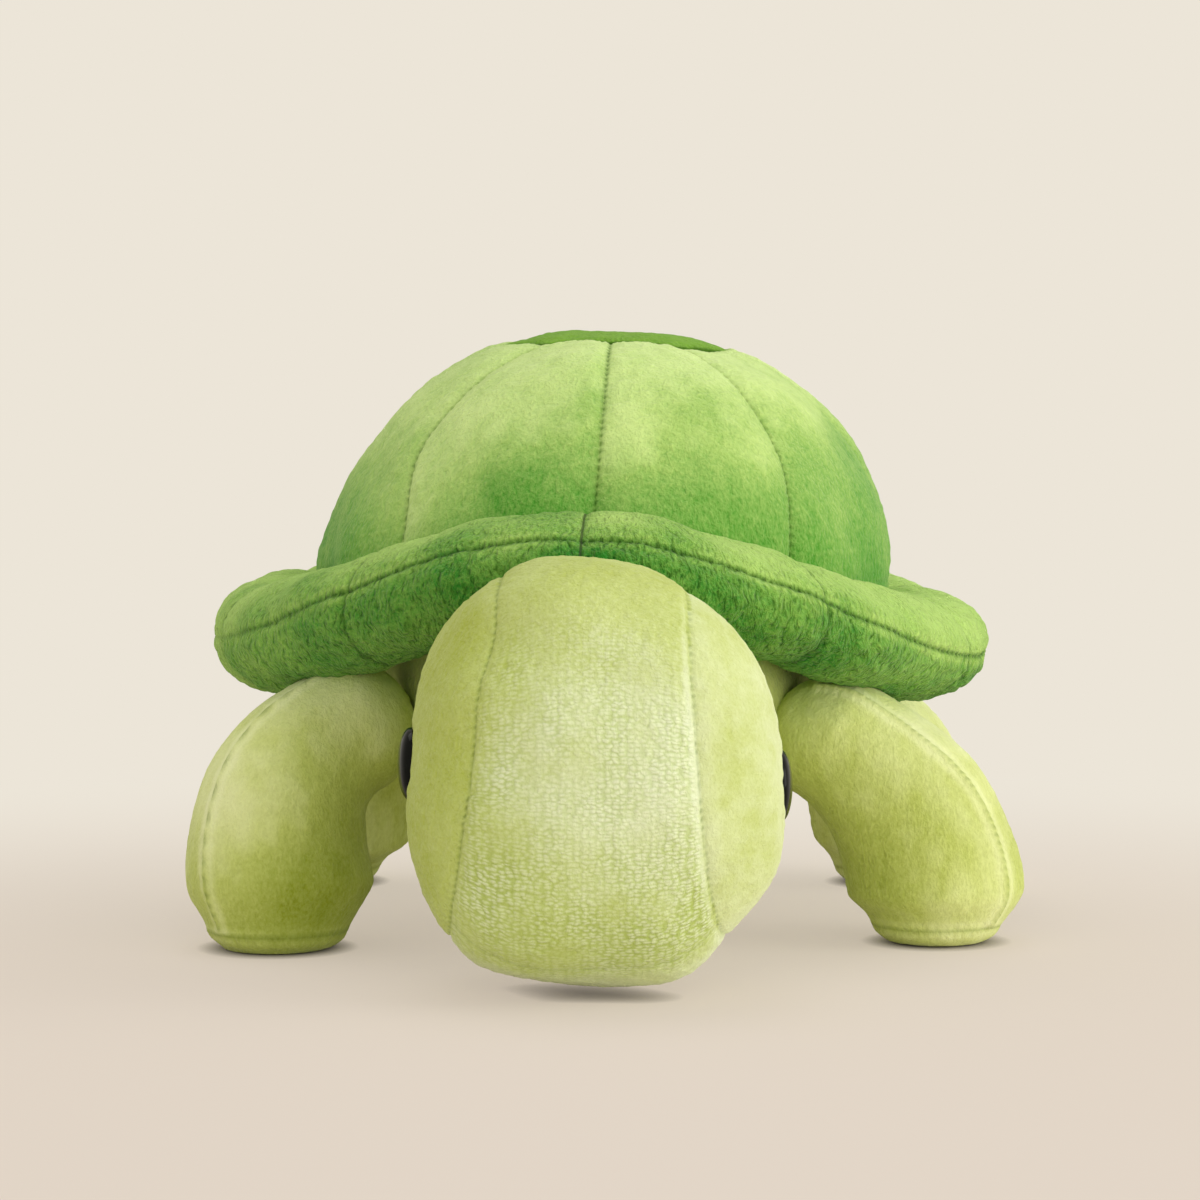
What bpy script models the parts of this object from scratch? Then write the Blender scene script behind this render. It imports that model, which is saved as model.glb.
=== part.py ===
"""Stuffed toy turtle, modelled from its sewn panels and their fillings.

The turtle faces -Y with +Z up and rests on four soles and its chin at z = 0. Its left is +X.
Lengths are in metres. Angles round the shell start at the front and turn towards +X.
"""

import math

import bmesh
import bpy
import numpy as np
from mathutils import Matrix, Vector

# Cloth, seams and the space between pieces
cloth = 0.0024
seam_gap = 0.0003
filling_gap = 0.0010
seat_gap = 0.0003
cut_overrun = 0.002
weld_distance = 0.00001

# Domed top of the shell
dome_half_width = 0.079
dome_half_length = 0.084
dome_height = 0.063
dome_girth_height = 0.097
dome_breadth_fullness = 2.6
dome_rise_fullness = 1.55
dome_puff = 0.0012
gore_count = 8
patch_radius = 0.0344

# Stuffed roll round the shell
brim_half_width = 0.106
brim_half_length = 0.112
roll_half_width = 0.020
roll_half_height = 0.0152
roll_side_height = 0.0775
roll_front_lift = 0.0235
roll_rear_lift = 0.014
roll_puff = 0.0014
brim_panel_count = 10
seam_side_turn = math.radians(-5)
seam_front_turn = math.radians(39)
seam_rear_turn = math.radians(15)
roll_tuck_turn = math.radians(-165)
roll_tuck_ease = math.radians(42)
brim_clearance = 0.0008
root_gap = 0.0008
shell_base_height = 0.076
plug_gap = 0.0008

# Body under the shell
body_half_width = 0.062
body_half_length = 0.088
body_half_height = 0.034
body_girth_height = 0.064
body_fullness = 2.2
belly_share = 0.42

# Head, measured from the centre of the shell
head_half_width = 0.046
head_half_depth = 0.038
head_half_height = 0.05375
head_reach = 0.142
head_fullness = 2.4
head_side_fullness = 2.3
chin_flat_depth = 0.0005
gusset_crown_half_width = 0.025
gusset_chin_half_width = 0.034
chin_seam_turn = math.radians(-72)
nape_seam_turn = math.radians(210)

# Neck, a round end that sits in the front of the body
neck_ball_radius = 0.024
neck_radius = 0.021
neck_reach = 0.080
neck_height = 0.051
neck_length = 0.040

# Safety eyes and the washers that hold them
eye_radius = 0.009
eye_rise = 0.0028
eye_edge = 0.0006
stem_radius = 0.0019
stem_length = 0.0105
stem_taper = 0.0006
stem_play = 0.0004
washer_radius = 0.0075
washer_thickness = 0.0015
washer_play = 0.0006

# Legs, with places measured from the centre of the shell
hip_radius = 0.0225
hip_spread = 0.068
front_hip_height = 0.0432
rear_hip_height = 0.0402
front_hip_reach = 0.057
rear_hip_reach = 0.052
front_foot_spread = 0.085
rear_foot_spread = 0.083
front_foot_reach = 0.067
rear_foot_reach = 0.058
knee_height = 0.024
sole_height = 0.004
sole_round = 0.003
girth_stations_share = (0.0, 0.2, 0.4, 0.6, 0.78, 0.91, 1.0)
girth_radii_share = (1.0, 1.03, 1.07, 1.09, 1.05, 0.97, 0.86)

# Tail
tail_ball_radius = 0.012
tail_seat_reach = 0.086
tail_height = 0.054
tail_length = 0.036
tail_stations_share = (0.25, 0.45, 0.65, 0.82, 0.94, 1.0)
tail_radii_share = (0.94, 0.86, 0.74, 0.56, 0.36, 0.0)
tail_leave_turn = math.radians(70)

# Facet counts
gore_columns = 4
gore_rows = 7
patch_rows = 3
roll_columns = 4
upper_rows = 5
lower_rows = 8
roll_rings = 18
form_columns = 32
head_rings = 26
head_columns = 14
strip_columns = 6
cheek_columns = 4
face_rows = 18
chin_rows = 5
leg_columns = 20
turned_steps = 24
ball_segments = 32
ball_rings = 16

edge_row_share = 0.2

# The middle of the whole toy, from head to tail, stands on the origin
head_front = head_reach + head_half_depth
tail_tip = tail_seat_reach + tail_length
stance_shift = (head_front - tail_tip) / 2

LEAF = (0.40, 0.64, 0.16)
GRASS = (0.16, 0.40, 0.05)
MOSS = (0.12, 0.33, 0.05)
LIME = (0.58, 0.66, 0.20)
WADDING = (0.85, 0.85, 0.82)
BLACK = (0.01, 0.01, 0.012)
MILKY = (0.75, 0.76, 0.74)


def clear_scene():
    """Remove every object of the open scene."""
    for old in list(bpy.data.objects):
        bpy.data.objects.remove(old, do_unlink=True)


def new_collection(name):
    """Collection under the scene's own."""
    group = bpy.data.collections.new(name)
    bpy.context.scene.collection.children.link(group)
    return group


def finish_material(obj, colour, roughness):
    """Give one object its own material."""
    material = bpy.data.materials.new(obj.name)
    material.use_nodes = True
    shader = material.node_tree.nodes["Principled BSDF"]
    shader.inputs["Base Color"].default_value = (*colour, 1)
    shader.inputs["Roughness"].default_value = roughness
    shader.inputs["Metallic"].default_value = 0
    obj.data.materials.append(material)


def place(mesh, colour, roughness=0.9):
    """Object for a finished mesh, in the toy's collection."""
    obj = bpy.data.objects.new(mesh.name, mesh)
    parts.objects.link(obj)
    finish_material(obj, colour, roughness)
    return obj


def place_cutter(mesh):
    """Object that only cuts others."""
    obj = bpy.data.objects.new(mesh.name, mesh)
    cutters.objects.link(obj)
    obj.hide_render = True
    obj.display_type = "WIRE"
    return obj


def cut(obj, cutter):
    """Take the cutter's volume out of the object."""
    modifier = obj.modifiers.new(cutter.name, "BOOLEAN")
    modifier.operation = "DIFFERENCE"
    modifier.solver = "EXACT"
    modifier.object = cutter


def lofted_mesh(name, rows, closed=False):
    """Grid drawn onto rows of points, with rows and columns that meet welded together."""
    rows = np.asarray(rows)
    row_count, column_count = rows.shape[:2]
    grid = bmesh.new()
    bmesh.ops.create_grid(grid, x_segments=column_count - 1, y_segments=row_count - 1, size=1)
    for vertex in grid.verts:
        column = round((vertex.co.x + 1) / 2 * (column_count - 1))
        row = round((vertex.co.y + 1) / 2 * (row_count - 1))
        vertex.co = rows[row, column]
    bmesh.ops.remove_doubles(grid, verts=grid.verts, dist=weld_distance)
    if closed:
        bmesh.ops.recalc_face_normals(grid, faces=grid.faces)
    mesh = bpy.data.meshes.new(name)
    grid.to_mesh(mesh)
    grid.free()
    mesh.shade_smooth()
    return mesh


def surface_rows(surface, first_values, second_values):
    """Points of a surface on a table of its two parameters, one row for each second value."""
    first, second = np.meshgrid(first_values, second_values)
    points = surface(first.ravel(), second.ravel())
    return points.reshape(len(second_values), len(first_values), 3)


def inset(surface, depth):
    """The surface moved inwards by a depth along its own normal."""
    step = 0.001

    def inner(first, second):
        along_first = surface(first + step, second) - surface(first - step, second)
        along_second = surface(first, second + step) - surface(first, second - step)
        normal = np.cross(along_first, along_second)
        normal /= np.linalg.norm(normal, axis=1, keepdims=True)
        return surface(first, second) - depth * normal

    return inner


def gathered(points):
    """One point, repeated for a whole row, at the middle of a tight row."""
    return np.repeat(points.mean(axis=0)[None, :], len(points), axis=0)


def cloth_panel(name, rows, colour):
    """Open patch of the outer surface, given the cloth's thickness inwards."""
    obj = place(lofted_mesh(name, rows), colour)
    layer = obj.modifiers.new("cloth", "SOLIDIFY")
    layer.thickness = cloth
    layer.offset = -1
    layer.use_even_offset = True
    return obj


def power(value, exponent):
    """Signed power, for rounded-square outlines."""
    return np.sign(value) * np.abs(value) ** exponent


def pillow(share):
    """How far a stuffed panel has risen at a share of its width: 0 on its seams, 1 between."""
    return 1 - (2 * np.clip(share, 0, 1) - 1) ** 4


# Shell surfaces

def eased(low, high, count):
    """Values from low to high that crowd towards both ends, where a panel curves down to its seams."""
    shares = (1 - np.cos(np.linspace(0, math.pi, count + 1))) / 2
    return low + (high - low) * shares


def edged(low, high, count):
    """Even values from low to high, with one more close to each end, where a seam turns in."""
    step_share = 1 / count
    inner = np.linspace(step_share, 1 - step_share, count - 1)
    shares = np.concatenate([[0, edge_row_share * step_share], inner, [1 - edge_row_share * step_share, 1]])
    return low + (high - low) * shares


def eased_circle(panel_count, columns):
    """Angles of a full circle, crowded towards the seams of its panels."""
    sector = 2 * math.pi / panel_count
    turns = [eased(index * sector, (index + 1) * sector, columns)[:-1] for index in range(panel_count)]
    return np.append(np.concatenate(turns), 2 * math.pi)


def waved(theta, side, front, rear):
    """A value at the sides plus a rise towards the front and one towards the rear."""
    ahead = np.maximum(np.cos(theta), 0) ** 3
    behind = np.maximum(-np.cos(theta), 0) ** 3
    return side + front * ahead + rear * behind


def roll_height(theta):
    """Height of the roll's middle."""
    return waved(theta, roll_side_height, roll_front_lift, roll_rear_lift)


def edge_seam_turn(theta):
    """Where the seam of the outer edge lies on the roll, as a turn up from the horizontal."""
    return waved(theta, seam_side_turn, seam_front_turn, seam_rear_turn)


def tuck_turn(theta):
    """Where the lower panels end, out of sight under the shell."""
    return roll_tuck_turn + roll_tuck_ease * np.abs(np.cos(theta))


def roll_point(theta, turn, growth=0.0):
    """Point of the plain roll, which may be grown all round."""
    across = (roll_half_width + growth) * np.cos(turn)
    x = (brim_half_width - roll_half_width + across) * np.sin(theta)
    y = -(brim_half_length - roll_half_width + across) * np.cos(theta)
    z = roll_height(theta) + (roll_half_height + growth) * np.sin(turn)
    return np.stack([x, y, z], axis=1)


def inside_dome(points):
    """True where a point lies inside the dome."""
    breadth = np.hypot(points[:, 0] / dome_half_width, points[:, 1] / dome_half_length)
    rise = np.maximum(points[:, 2] - dome_girth_height, 0) / dome_height
    return breadth ** dome_breadth_fullness + rise ** dome_rise_fullness < 1


def root_turn(theta):
    """Turn at which the roll runs into the dome, by halving the range again and again."""
    outer = np.full(theta.shape, math.radians(60))
    inner = np.full(theta.shape, math.radians(150))
    for _ in range(24):
        middle = (outer + inner) / 2
        is_inside = inside_dome(roll_point(theta, middle))
        inner = np.where(is_inside, middle, inner)
        outer = np.where(is_inside, outer, middle)
    return (outer + inner) / 2


def roll_surface(theta, turn):
    """The roll with each of its upper and lower panels puffed between the seams."""
    edge = edge_seam_turn(theta)
    upper = (turn - edge) / (root_turn(theta) - edge)
    lower = (edge - turn) / (edge - tuck_turn(theta))
    along = np.mod(theta * brim_panel_count / (2 * math.pi), 1)
    puff = roll_puff * pillow(along) * pillow(np.where(turn > edge, upper, lower))
    return roll_point(theta, turn, puff)


def dome_start(theta):
    """Profile share at which the dome meets the roll: 1 is its girth, more is below it."""
    z = roll_point(theta, root_turn(theta))[:, 2]
    rise = np.clip((z - dome_girth_height) / dome_height, 0, 1)
    above = np.arccos(rise ** (dome_rise_fullness / 2)) * 2 / math.pi
    below = 1 + np.maximum(dome_girth_height - z, 0) / dome_height
    return np.where(z > dome_girth_height, above, below)


def patch_edge(theta):
    """Profile share of the patch's straight edge, with a corner on each gore seam."""
    sector = 2 * math.pi / gore_count
    straight = patch_radius * math.cos(sector / 2) / np.cos(np.mod(theta, sector) - sector / 2)
    breadth = np.hypot(dome_half_width * np.sin(theta), dome_half_length * np.cos(theta))
    return np.arcsin((straight / breadth) ** (dome_breadth_fullness / 2)) * 2 / math.pi


def dome_surface(theta, rise):
    """The dome from its seam with the roll (0) over the patch's edge (1) to the top (2)."""
    start = dome_start(theta)
    edge = patch_edge(theta)
    share = np.where(rise < 1, start + (edge - start) * rise, edge * (2 - rise))
    swing = np.clip(share, 0, 1) * math.pi / 2
    along = np.mod(theta * gore_count / (2 * math.pi), 1)
    puff = pillow(along) * pillow(rise) * dome_puff
    breadth = np.sin(swing) ** (2 / dome_breadth_fullness)
    x = (dome_half_width + puff) * breadth * np.sin(theta)
    y = -(dome_half_length + puff) * breadth * np.cos(theta)
    skirt = np.maximum(share - 1, 0) * dome_height
    z = dome_girth_height + (dome_height + puff) * np.cos(swing) ** (2 / dome_rise_fullness) - skirt
    return np.stack([x, y, z], axis=1)


# Shell pieces

def make_gores():
    """Panels of the dome, one between each pair of neighbouring corners of the patch."""
    sector = 2 * math.pi / gore_count
    half_gap = seam_gap / 2 / patch_radius
    rise_gap = seam_gap / dome_half_width
    rises = eased(rise_gap, 1 - rise_gap, gore_rows)
    for index in range(gore_count):
        turns = eased(index * sector + half_gap, (index + 1) * sector - half_gap, gore_columns)
        cloth_panel(f"shell_gore_{index + 1}", surface_rows(dome_surface, turns, rises), LEAF)


def make_patch():
    """Eight-cornered patch on the top of the dome."""
    turns = np.linspace(0, 2 * math.pi, 2 * gore_count + 1)
    rises = np.linspace(1 + seam_gap / patch_radius, 2, patch_rows + 1)
    cloth_panel("shell_top_patch", surface_rows(dome_surface, turns, rises), GRASS)


def make_shell_filling():
    """Wadding under the gores, stepped in above the roll, with a flat base on the body."""
    turns = eased_circle(gore_count, gore_columns)
    depth = cloth + filling_gap
    clearance = depth - plug_gap
    root = root_turn(turns)
    away = depth / roll_half_width
    plug = roll_point(turns, np.full(turns.shape, math.pi), -clearance)
    base_rim = plug.copy()
    base_rim[:, 2] = shell_base_height
    rows = [gathered(base_rim), base_rim, plug]
    for share in (0.66, 0.33, 0.0):
        lean = (root + away) * (1 - share) + math.pi * share
        rows.append(roll_point(turns, lean, -clearance))
    domed = inset(dome_surface, depth)
    for rise in np.linspace(0, 2, 12)[:-1]:
        rows.append(domed(turns, np.full(turns.shape, rise)))
    rows.append(gathered(domed(turns, np.full(turns.shape, 2 - seam_gap / patch_radius))))
    place(lofted_mesh("shell_filling", rows, closed=True), WADDING)


def make_brim():
    """Upper and lower panels of the roll and the wadding that they hold."""
    sector = 2 * math.pi / brim_panel_count
    half_gap = seam_gap / 2 / (dome_half_width - roll_half_width)
    turn_gap = seam_gap / 2 / roll_half_height

    def upper(theta, share):
        low = edge_seam_turn(theta) + turn_gap
        return roll_surface(theta, low + (root_turn(theta) - root_gap / roll_half_height - low) * share)

    def lower(theta, share):
        low = tuck_turn(theta)
        return roll_surface(theta, low + (edge_seam_turn(theta) - turn_gap - low) * share)

    for index in range(brim_panel_count):
        turns = eased(index * sector + half_gap, (index + 1) * sector - half_gap, roll_columns)
        over = surface_rows(upper, turns, eased(0, 1, upper_rows))
        under = surface_rows(lower, turns, eased(0, 1, lower_rows))
        cloth_panel(f"brim_upper_{index + 1}", over, GRASS)
        cloth_panel(f"brim_lower_{index + 1}", under, MOSS)

    turns = eased_circle(brim_panel_count, roll_columns)
    rings = np.linspace(0, 2 * math.pi, roll_rings + 1) + roll_tuck_turn
    rows = surface_rows(inset(roll_surface, cloth + filling_gap), turns, rings)
    rows[-1] = rows[0]
    place(lofted_mesh("brim_filling", rows, closed=True), WADDING)

    rows = surface_rows(inset(roll_surface, -brim_clearance), turns, rings)
    rows[-1] = rows[0]
    return place_cutter(lofted_mesh("brim_clearance", rows, closed=True))


# Head

def head_surface(side, turn):
    """The head: side goes from its right cheek to its left, turn from the face over the crown."""
    breadth = power(np.sin(side), 2 / head_fullness)
    girth = power(np.cos(side), 2 / head_fullness)
    x = head_half_width * breadth
    y = -head_reach - head_half_depth * girth * power(np.cos(turn), 2 / head_side_fullness)
    rise = head_half_height * girth * power(np.sin(turn), 2 / head_side_fullness)
    z = np.maximum(head_half_height - chin_flat_depth + rise, 0)
    return np.stack([x, y, z], axis=1)


def gusset_side(turn):
    """Side angle of the seam between the middle strip and a cheek."""
    middle = (gusset_crown_half_width + gusset_chin_half_width) / 2
    change = (gusset_crown_half_width - gusset_chin_half_width) / 2
    half_width = middle + change * np.sin(turn)
    return np.arcsin((half_width / head_half_width) ** (head_fullness / 2))


def make_head():
    """Middle strip, chin panel, two cheeks with their eye holes, and the wadding."""
    half_gap = seam_gap / 2 / head_half_depth
    full_turn = np.linspace(-math.pi, math.pi, head_rings + 1)
    hole_girth = (stem_radius + stem_play) / head_half_depth
    hole_side = math.acos(hole_girth ** (head_fullness / 2))

    def strip(share, turn):
        return head_surface((gusset_side(turn) - half_gap) * share, turn)

    def left_cheek(share, turn):
        seam = gusset_side(turn) + half_gap
        return head_surface(seam + (hole_side - seam) * share, turn)

    def right_cheek(share, turn):
        seam = gusset_side(turn) + half_gap
        return head_surface(-hole_side + (hole_side - seam) * share, turn)

    across = edged(-1, 1, strip_columns)
    face_turns = edged(chin_seam_turn + half_gap, nape_seam_turn - half_gap, face_rows)
    chin_turns = edged(nape_seam_turn - 2 * math.pi + half_gap, chin_seam_turn - half_gap, chin_rows)
    cheek_shares = edged(0, 1, cheek_columns)
    panels = [
        cloth_panel("head_gusset", surface_rows(strip, across, face_turns), LIME),
        cloth_panel("chin_panel", surface_rows(strip, across, chin_turns), LIME),
        cloth_panel("head_side_left", surface_rows(left_cheek, cheek_shares, full_turn), LIME),
        cloth_panel("head_side_right", surface_rows(right_cheek, cheek_shares, full_turn), LIME),
    ]

    pole = math.pi / 2 - half_gap
    sides = np.linspace(-pole, pole, head_columns + 1)
    rows = surface_rows(inset(head_surface, cloth + filling_gap), sides, full_turn)
    rows[:, 0] = gathered(rows[:, 0])
    rows[:, -1] = gathered(rows[:, -1])
    filling = place(lofted_mesh("head_filling", rows, closed=True), WADDING)
    return panels, filling


# Turned pieces

def turned(name, profile, steps=turned_steps, loop=False):
    """Mesh of a profile, given as radius and height from top to bottom, turned about Z."""
    count = len(profile)
    edges = [(index, index + 1) for index in range(count - 1)]
    if loop:
        edges.append((count - 1, 0))
    mesh = bpy.data.meshes.new(name)
    mesh.from_pydata([(radius, 0, height) for radius, height in profile], edges, [])
    return mesh, steps


def add_screw(obj, steps):
    """Turn the object's profile into a closed round body."""
    screw = obj.modifiers.new("turn", "SCREW")
    screw.axis = "Z"
    screw.angle = 2 * math.pi
    screw.steps = steps
    screw.render_steps = steps
    screw.use_merge_vertices = True
    screw.merge_threshold = weld_distance
    screw.use_smooth_shade = True


def turned_piece(name, profile, colour, roughness=0.9, loop=False):
    """Turned object with its material."""
    mesh, steps = turned(name, profile, loop=loop)
    obj = place(mesh, colour, roughness)
    add_screw(obj, steps)
    return obj


def turned_cutter(name, profile):
    """Turned object that only cuts others."""
    mesh, steps = turned(name, profile)
    obj = place_cutter(mesh)
    add_screw(obj, steps)
    return obj


def make_eye(side_name, sign, filling):
    """Eye with its stem through the cheek, the washer behind the cloth, and their hole."""
    arc = [index * math.pi / 16 for index in range(8)]
    dome = [(eye_radius * math.sin(angle), eye_edge + eye_rise * math.cos(angle)) for angle in arc]
    stem = [
        (eye_radius, eye_edge),
        (eye_radius, 0),
        (stem_radius, 0),
        (stem_radius, stem_taper * 2 - stem_length),
        (stem_radius - stem_taper, -stem_length),
        (0, -stem_length),
    ]
    eye = turned_piece(f"eye_{side_name}", dome + stem, BLACK, 0.08)
    seat = head_half_width + seat_gap
    eye_height = head_half_height - chin_flat_depth
    place_here = Vector((sign * seat, -head_reach, eye_height))
    eye.location = place_here
    eye.rotation_euler = (0, sign * math.pi / 2, 0)

    fall = head_half_width * (1 - (1 - (washer_radius / head_half_depth) ** head_fullness)
                              ** (1 / head_fullness))
    top = -(seat_gap + cloth + fall + seat_gap)
    bottom = top - washer_thickness
    inner_radius = stem_radius + seat_gap
    ring = [(washer_radius, top), (washer_radius, bottom), (inner_radius, bottom), (inner_radius, top)]
    washer = turned_piece(f"eye_washer_{side_name}", ring, MILKY, 0.5, loop=True)
    washer.location = place_here
    washer.rotation_euler = (0, sign * math.pi / 2, 0)

    pocket = [
        (0, cut_overrun),
        (washer_radius + washer_play, cut_overrun),
        (washer_radius + washer_play, bottom - seat_gap),
        (stem_radius + washer_play, bottom - seat_gap),
        (stem_radius + washer_play, -stem_length - washer_play),
        (0, -stem_length - washer_play),
    ]
    hole = turned_cutter(f"eye_hole_{side_name}", pocket)
    hole.location = place_here
    hole.rotation_euler = (0, sign * math.pi / 2, 0)
    cut(filling, hole)
    return [eye, washer, hole]


def ball_then(radius, shaft, first_angle):
    """Profile from a shaft's end round a ball to the ball's far pole, top to bottom."""
    rounds = 10
    angles = [first_angle + (math.pi - first_angle) * index / rounds for index in range(rounds + 1)]
    ball = [(radius * math.sin(angle), radius * math.cos(angle)) for angle in angles]
    ball[-1] = (0, -radius)
    return shaft + ball


def make_neck():
    """Neck: a ball in the body's socket and a short shaft that ends at the back of the head."""
    leave = math.asin(neck_radius / neck_ball_radius)
    shaft = [(0, neck_length), (neck_radius, neck_length)]
    neck = turned_piece("neck", ball_then(neck_ball_radius, shaft, leave), LIME)
    neck.location = (0, -neck_reach, neck_height)
    neck.rotation_euler = (math.pi / 2, 0, 0)

    pole = math.pi / 2 - weld_distance / head_half_width
    sides = np.linspace(-pole, pole, head_columns + 1)
    full_turn = np.linspace(-math.pi, math.pi, head_rings + 1)
    rows = surface_rows(inset(head_surface, -2 * seat_gap), sides, full_turn)
    rows[:, 0] = gathered(rows[:, 0])
    rows[:, -1] = gathered(rows[:, -1])
    cut(neck, place_cutter(lofted_mesh("head_clearance", rows, closed=True)))
    return neck


# Legs

def leg_rows(hip, knee, ankle):
    """Rings from the top of the hip's ball down the leg to its flat lower end."""
    down = Vector((0, 0, -1))
    axis = (knee - hip).normalized()
    turns = np.linspace(0, 2 * math.pi, leg_columns + 1)

    def ring(centre, normal, radius):
        first = (Vector((1, 0, 0)) - normal * normal.x).normalized()
        second = normal.cross(first)
        spread = np.outer(np.cos(turns), np.array(first)) + np.outer(np.sin(turns), np.array(second))
        return np.array(centre) + radius * spread

    rows = []
    caps = 6
    for index in range(caps):
        swing = index / caps * math.pi / 2
        rows.append(ring(hip - axis * hip_radius * math.cos(swing), axis, hip_radius * math.sin(swing)))
    stations = 9
    for index in range(stations):
        share = index / (stations - 1)
        centre = hip * (1 - share) ** 2 + knee * 2 * share * (1 - share) + ankle * share ** 2
        normal = (axis * (1 - share) + down * share).normalized()
        radius = hip_radius * float(np.interp(share, girth_stations_share, girth_radii_share))
        rows.append(ring(centre, normal, radius))
    rows.append(ring(ankle, down, 0))
    return rows


def make_leg(name, side, hip_reach, hip_height, foot_spread, foot_reach):
    """One leg and its sole. Reach is towards the rear where it is above zero."""
    hip = Vector((side * hip_spread, hip_reach, hip_height))
    ankle = Vector((side * foot_spread, foot_reach, sole_height + seam_gap))
    knee = Vector((ankle.x, ankle.y, knee_height))
    leg = place(lofted_mesh(f"leg_{name}", leg_rows(hip, knee, ankle), closed=True), LIME)

    ankle_radius = hip_radius * girth_radii_share[-1]
    profile = [(0, sole_height), (ankle_radius, sole_height)]
    for index in range(1, 4):
        swing = index / 3 * math.pi / 2
        inward = sole_round * (1 - math.cos(swing))
        profile.append((ankle_radius - inward, sole_round * (1 - math.sin(swing))))
    profile.append((0, 0))
    sole = turned_piece(f"sole_{name}", profile, LIME)
    sole.location = (ankle.x, ankle.y, 0)
    return hip, [leg, sole]


# Body and tail

def body_surface(theta, share):
    """The body from the lowest point of its belly (0) past its girth (1) to its top (2)."""
    swing = np.clip(share, 0, 2) * math.pi / 2
    breadth = power(np.sin(swing), 2 / body_fullness)
    x = body_half_width * breadth * np.sin(theta)
    y = -body_half_length * breadth * np.cos(theta)
    z = body_girth_height - body_half_height * power(np.cos(swing), 2 / body_fullness)
    z = np.minimum(z, shell_base_height - seat_gap)
    return np.stack([x, y, z], axis=1)


def make_body():
    """Stuffed body, let in for the belly panel, and the belly panel."""
    turns = np.linspace(0, 2 * math.pi, form_columns + 1)
    near_pole = seam_gap / body_half_width
    edge_gap = seam_gap / body_half_height
    let_in = inset(body_surface, cloth + seat_gap)
    rows = [gathered(let_in(turns, np.full(turns.shape, near_pole)))]
    for share in np.linspace(0, belly_share, 6)[1:]:
        rows.append(let_in(turns, np.full(turns.shape, share)))
    for share in np.linspace(belly_share + edge_gap, 2 - near_pole, 12):
        rows.append(body_surface(turns, np.full(turns.shape, share)))
    rows.append(gathered(rows[-1]))
    body = place(lofted_mesh("body", rows, closed=True), LIME)

    shares = np.linspace(belly_share - edge_gap, 0, 6)
    panel_rows = surface_rows(body_surface, turns[::-1], shares)
    cloth_panel("belly_panel", panel_rows, LIME)
    return body


def make_tail():
    """Tail: a ball in the body's socket that draws out to a soft point."""
    shaft = []
    for station, radius in zip(reversed(tail_stations_share), reversed(tail_radii_share)):
        shaft.append((tail_ball_radius * radius, tail_length * station))
    tail = turned_piece("tail", ball_then(tail_ball_radius, shaft, tail_leave_turn), LIME)
    tail.location = (0, tail_seat_reach, tail_height)
    tail.rotation_euler = (-math.pi / 2, 0, 0)
    return tail


def cut_socket(body, name, centre, radius):
    """Socket whose facets all lie outside the ball that turns in it."""
    facet = math.cos(math.pi / ball_segments) * math.cos(math.pi / (2 * ball_rings))
    ball = bmesh.new()
    bmesh.ops.create_uvsphere(
        ball, u_segments=ball_segments, v_segments=ball_rings, radius=(radius + seat_gap) / facet
    )
    mesh = bpy.data.meshes.new(name)
    ball.to_mesh(mesh)
    ball.free()
    socket = place_cutter(mesh)
    socket.location = centre
    cut(body, socket)


def hang_on(name, pivot, pieces):
    """Parent the pieces to an empty on their joint, leaving them where they are."""
    empty = bpy.data.objects.new(name, None)
    parts.objects.link(empty)
    empty.location = pivot
    for piece in pieces:
        if piece.location.length > 0:
            piece.location -= Vector(pivot)
        else:
            piece.data.transform(Matrix.Translation(-Vector(pivot)))
        piece.parent = empty
    return empty


clear_scene()
parts = new_collection("plush turtle")
cutters = new_collection("cutters")

make_gores()
make_patch()
make_shell_filling()
brim_space = make_brim()
body = make_body()
cut(body, brim_space)

neck_pivot = Vector((0, -neck_reach, neck_height))
tail_pivot = Vector((0, tail_seat_reach, tail_height))
cut_socket(body, "neck_socket", neck_pivot, neck_ball_radius)
cut_socket(body, "tail_socket", tail_pivot, tail_ball_radius)

head_panels, head_filling = make_head()
eyes = make_eye("left", 1, head_filling) + make_eye("right", -1, head_filling)
neck = make_neck()
hang_on("neck_pivot", neck_pivot, [*head_panels, head_filling, *eyes, neck])
hang_on("tail_pivot", tail_pivot, [make_tail()])

corners = (
    ("front_left", 1, -front_hip_reach, front_hip_height, front_foot_spread, -front_foot_reach),
    ("front_right", -1, -front_hip_reach, front_hip_height, front_foot_spread, -front_foot_reach),
    ("rear_left", 1, rear_hip_reach, rear_hip_height, rear_foot_spread, rear_foot_reach),
    ("rear_right", -1, rear_hip_reach, rear_hip_height, rear_foot_spread, rear_foot_reach),
)
for name, side, *places in corners:
    hip, leg_pieces = make_leg(name, side, *places)
    cut_socket(body, f"{name}_hip_socket", hip, hip_radius)
    hang_on(f"{name}_hip", hip, leg_pieces)

stance = bpy.data.objects.new("turtle", None)
parts.objects.link(stance)
for obj in [*parts.objects, *cutters.objects]:
    if obj.parent is None and obj is not stance:
        obj.parent = stance
stance.location.y = stance_shift
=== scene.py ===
"""Looks of a stuffed toy turtle: velvety cloth panels, sewn seams, glossy eyes and a plain studio."""

import math
from collections import namedtuple

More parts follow.
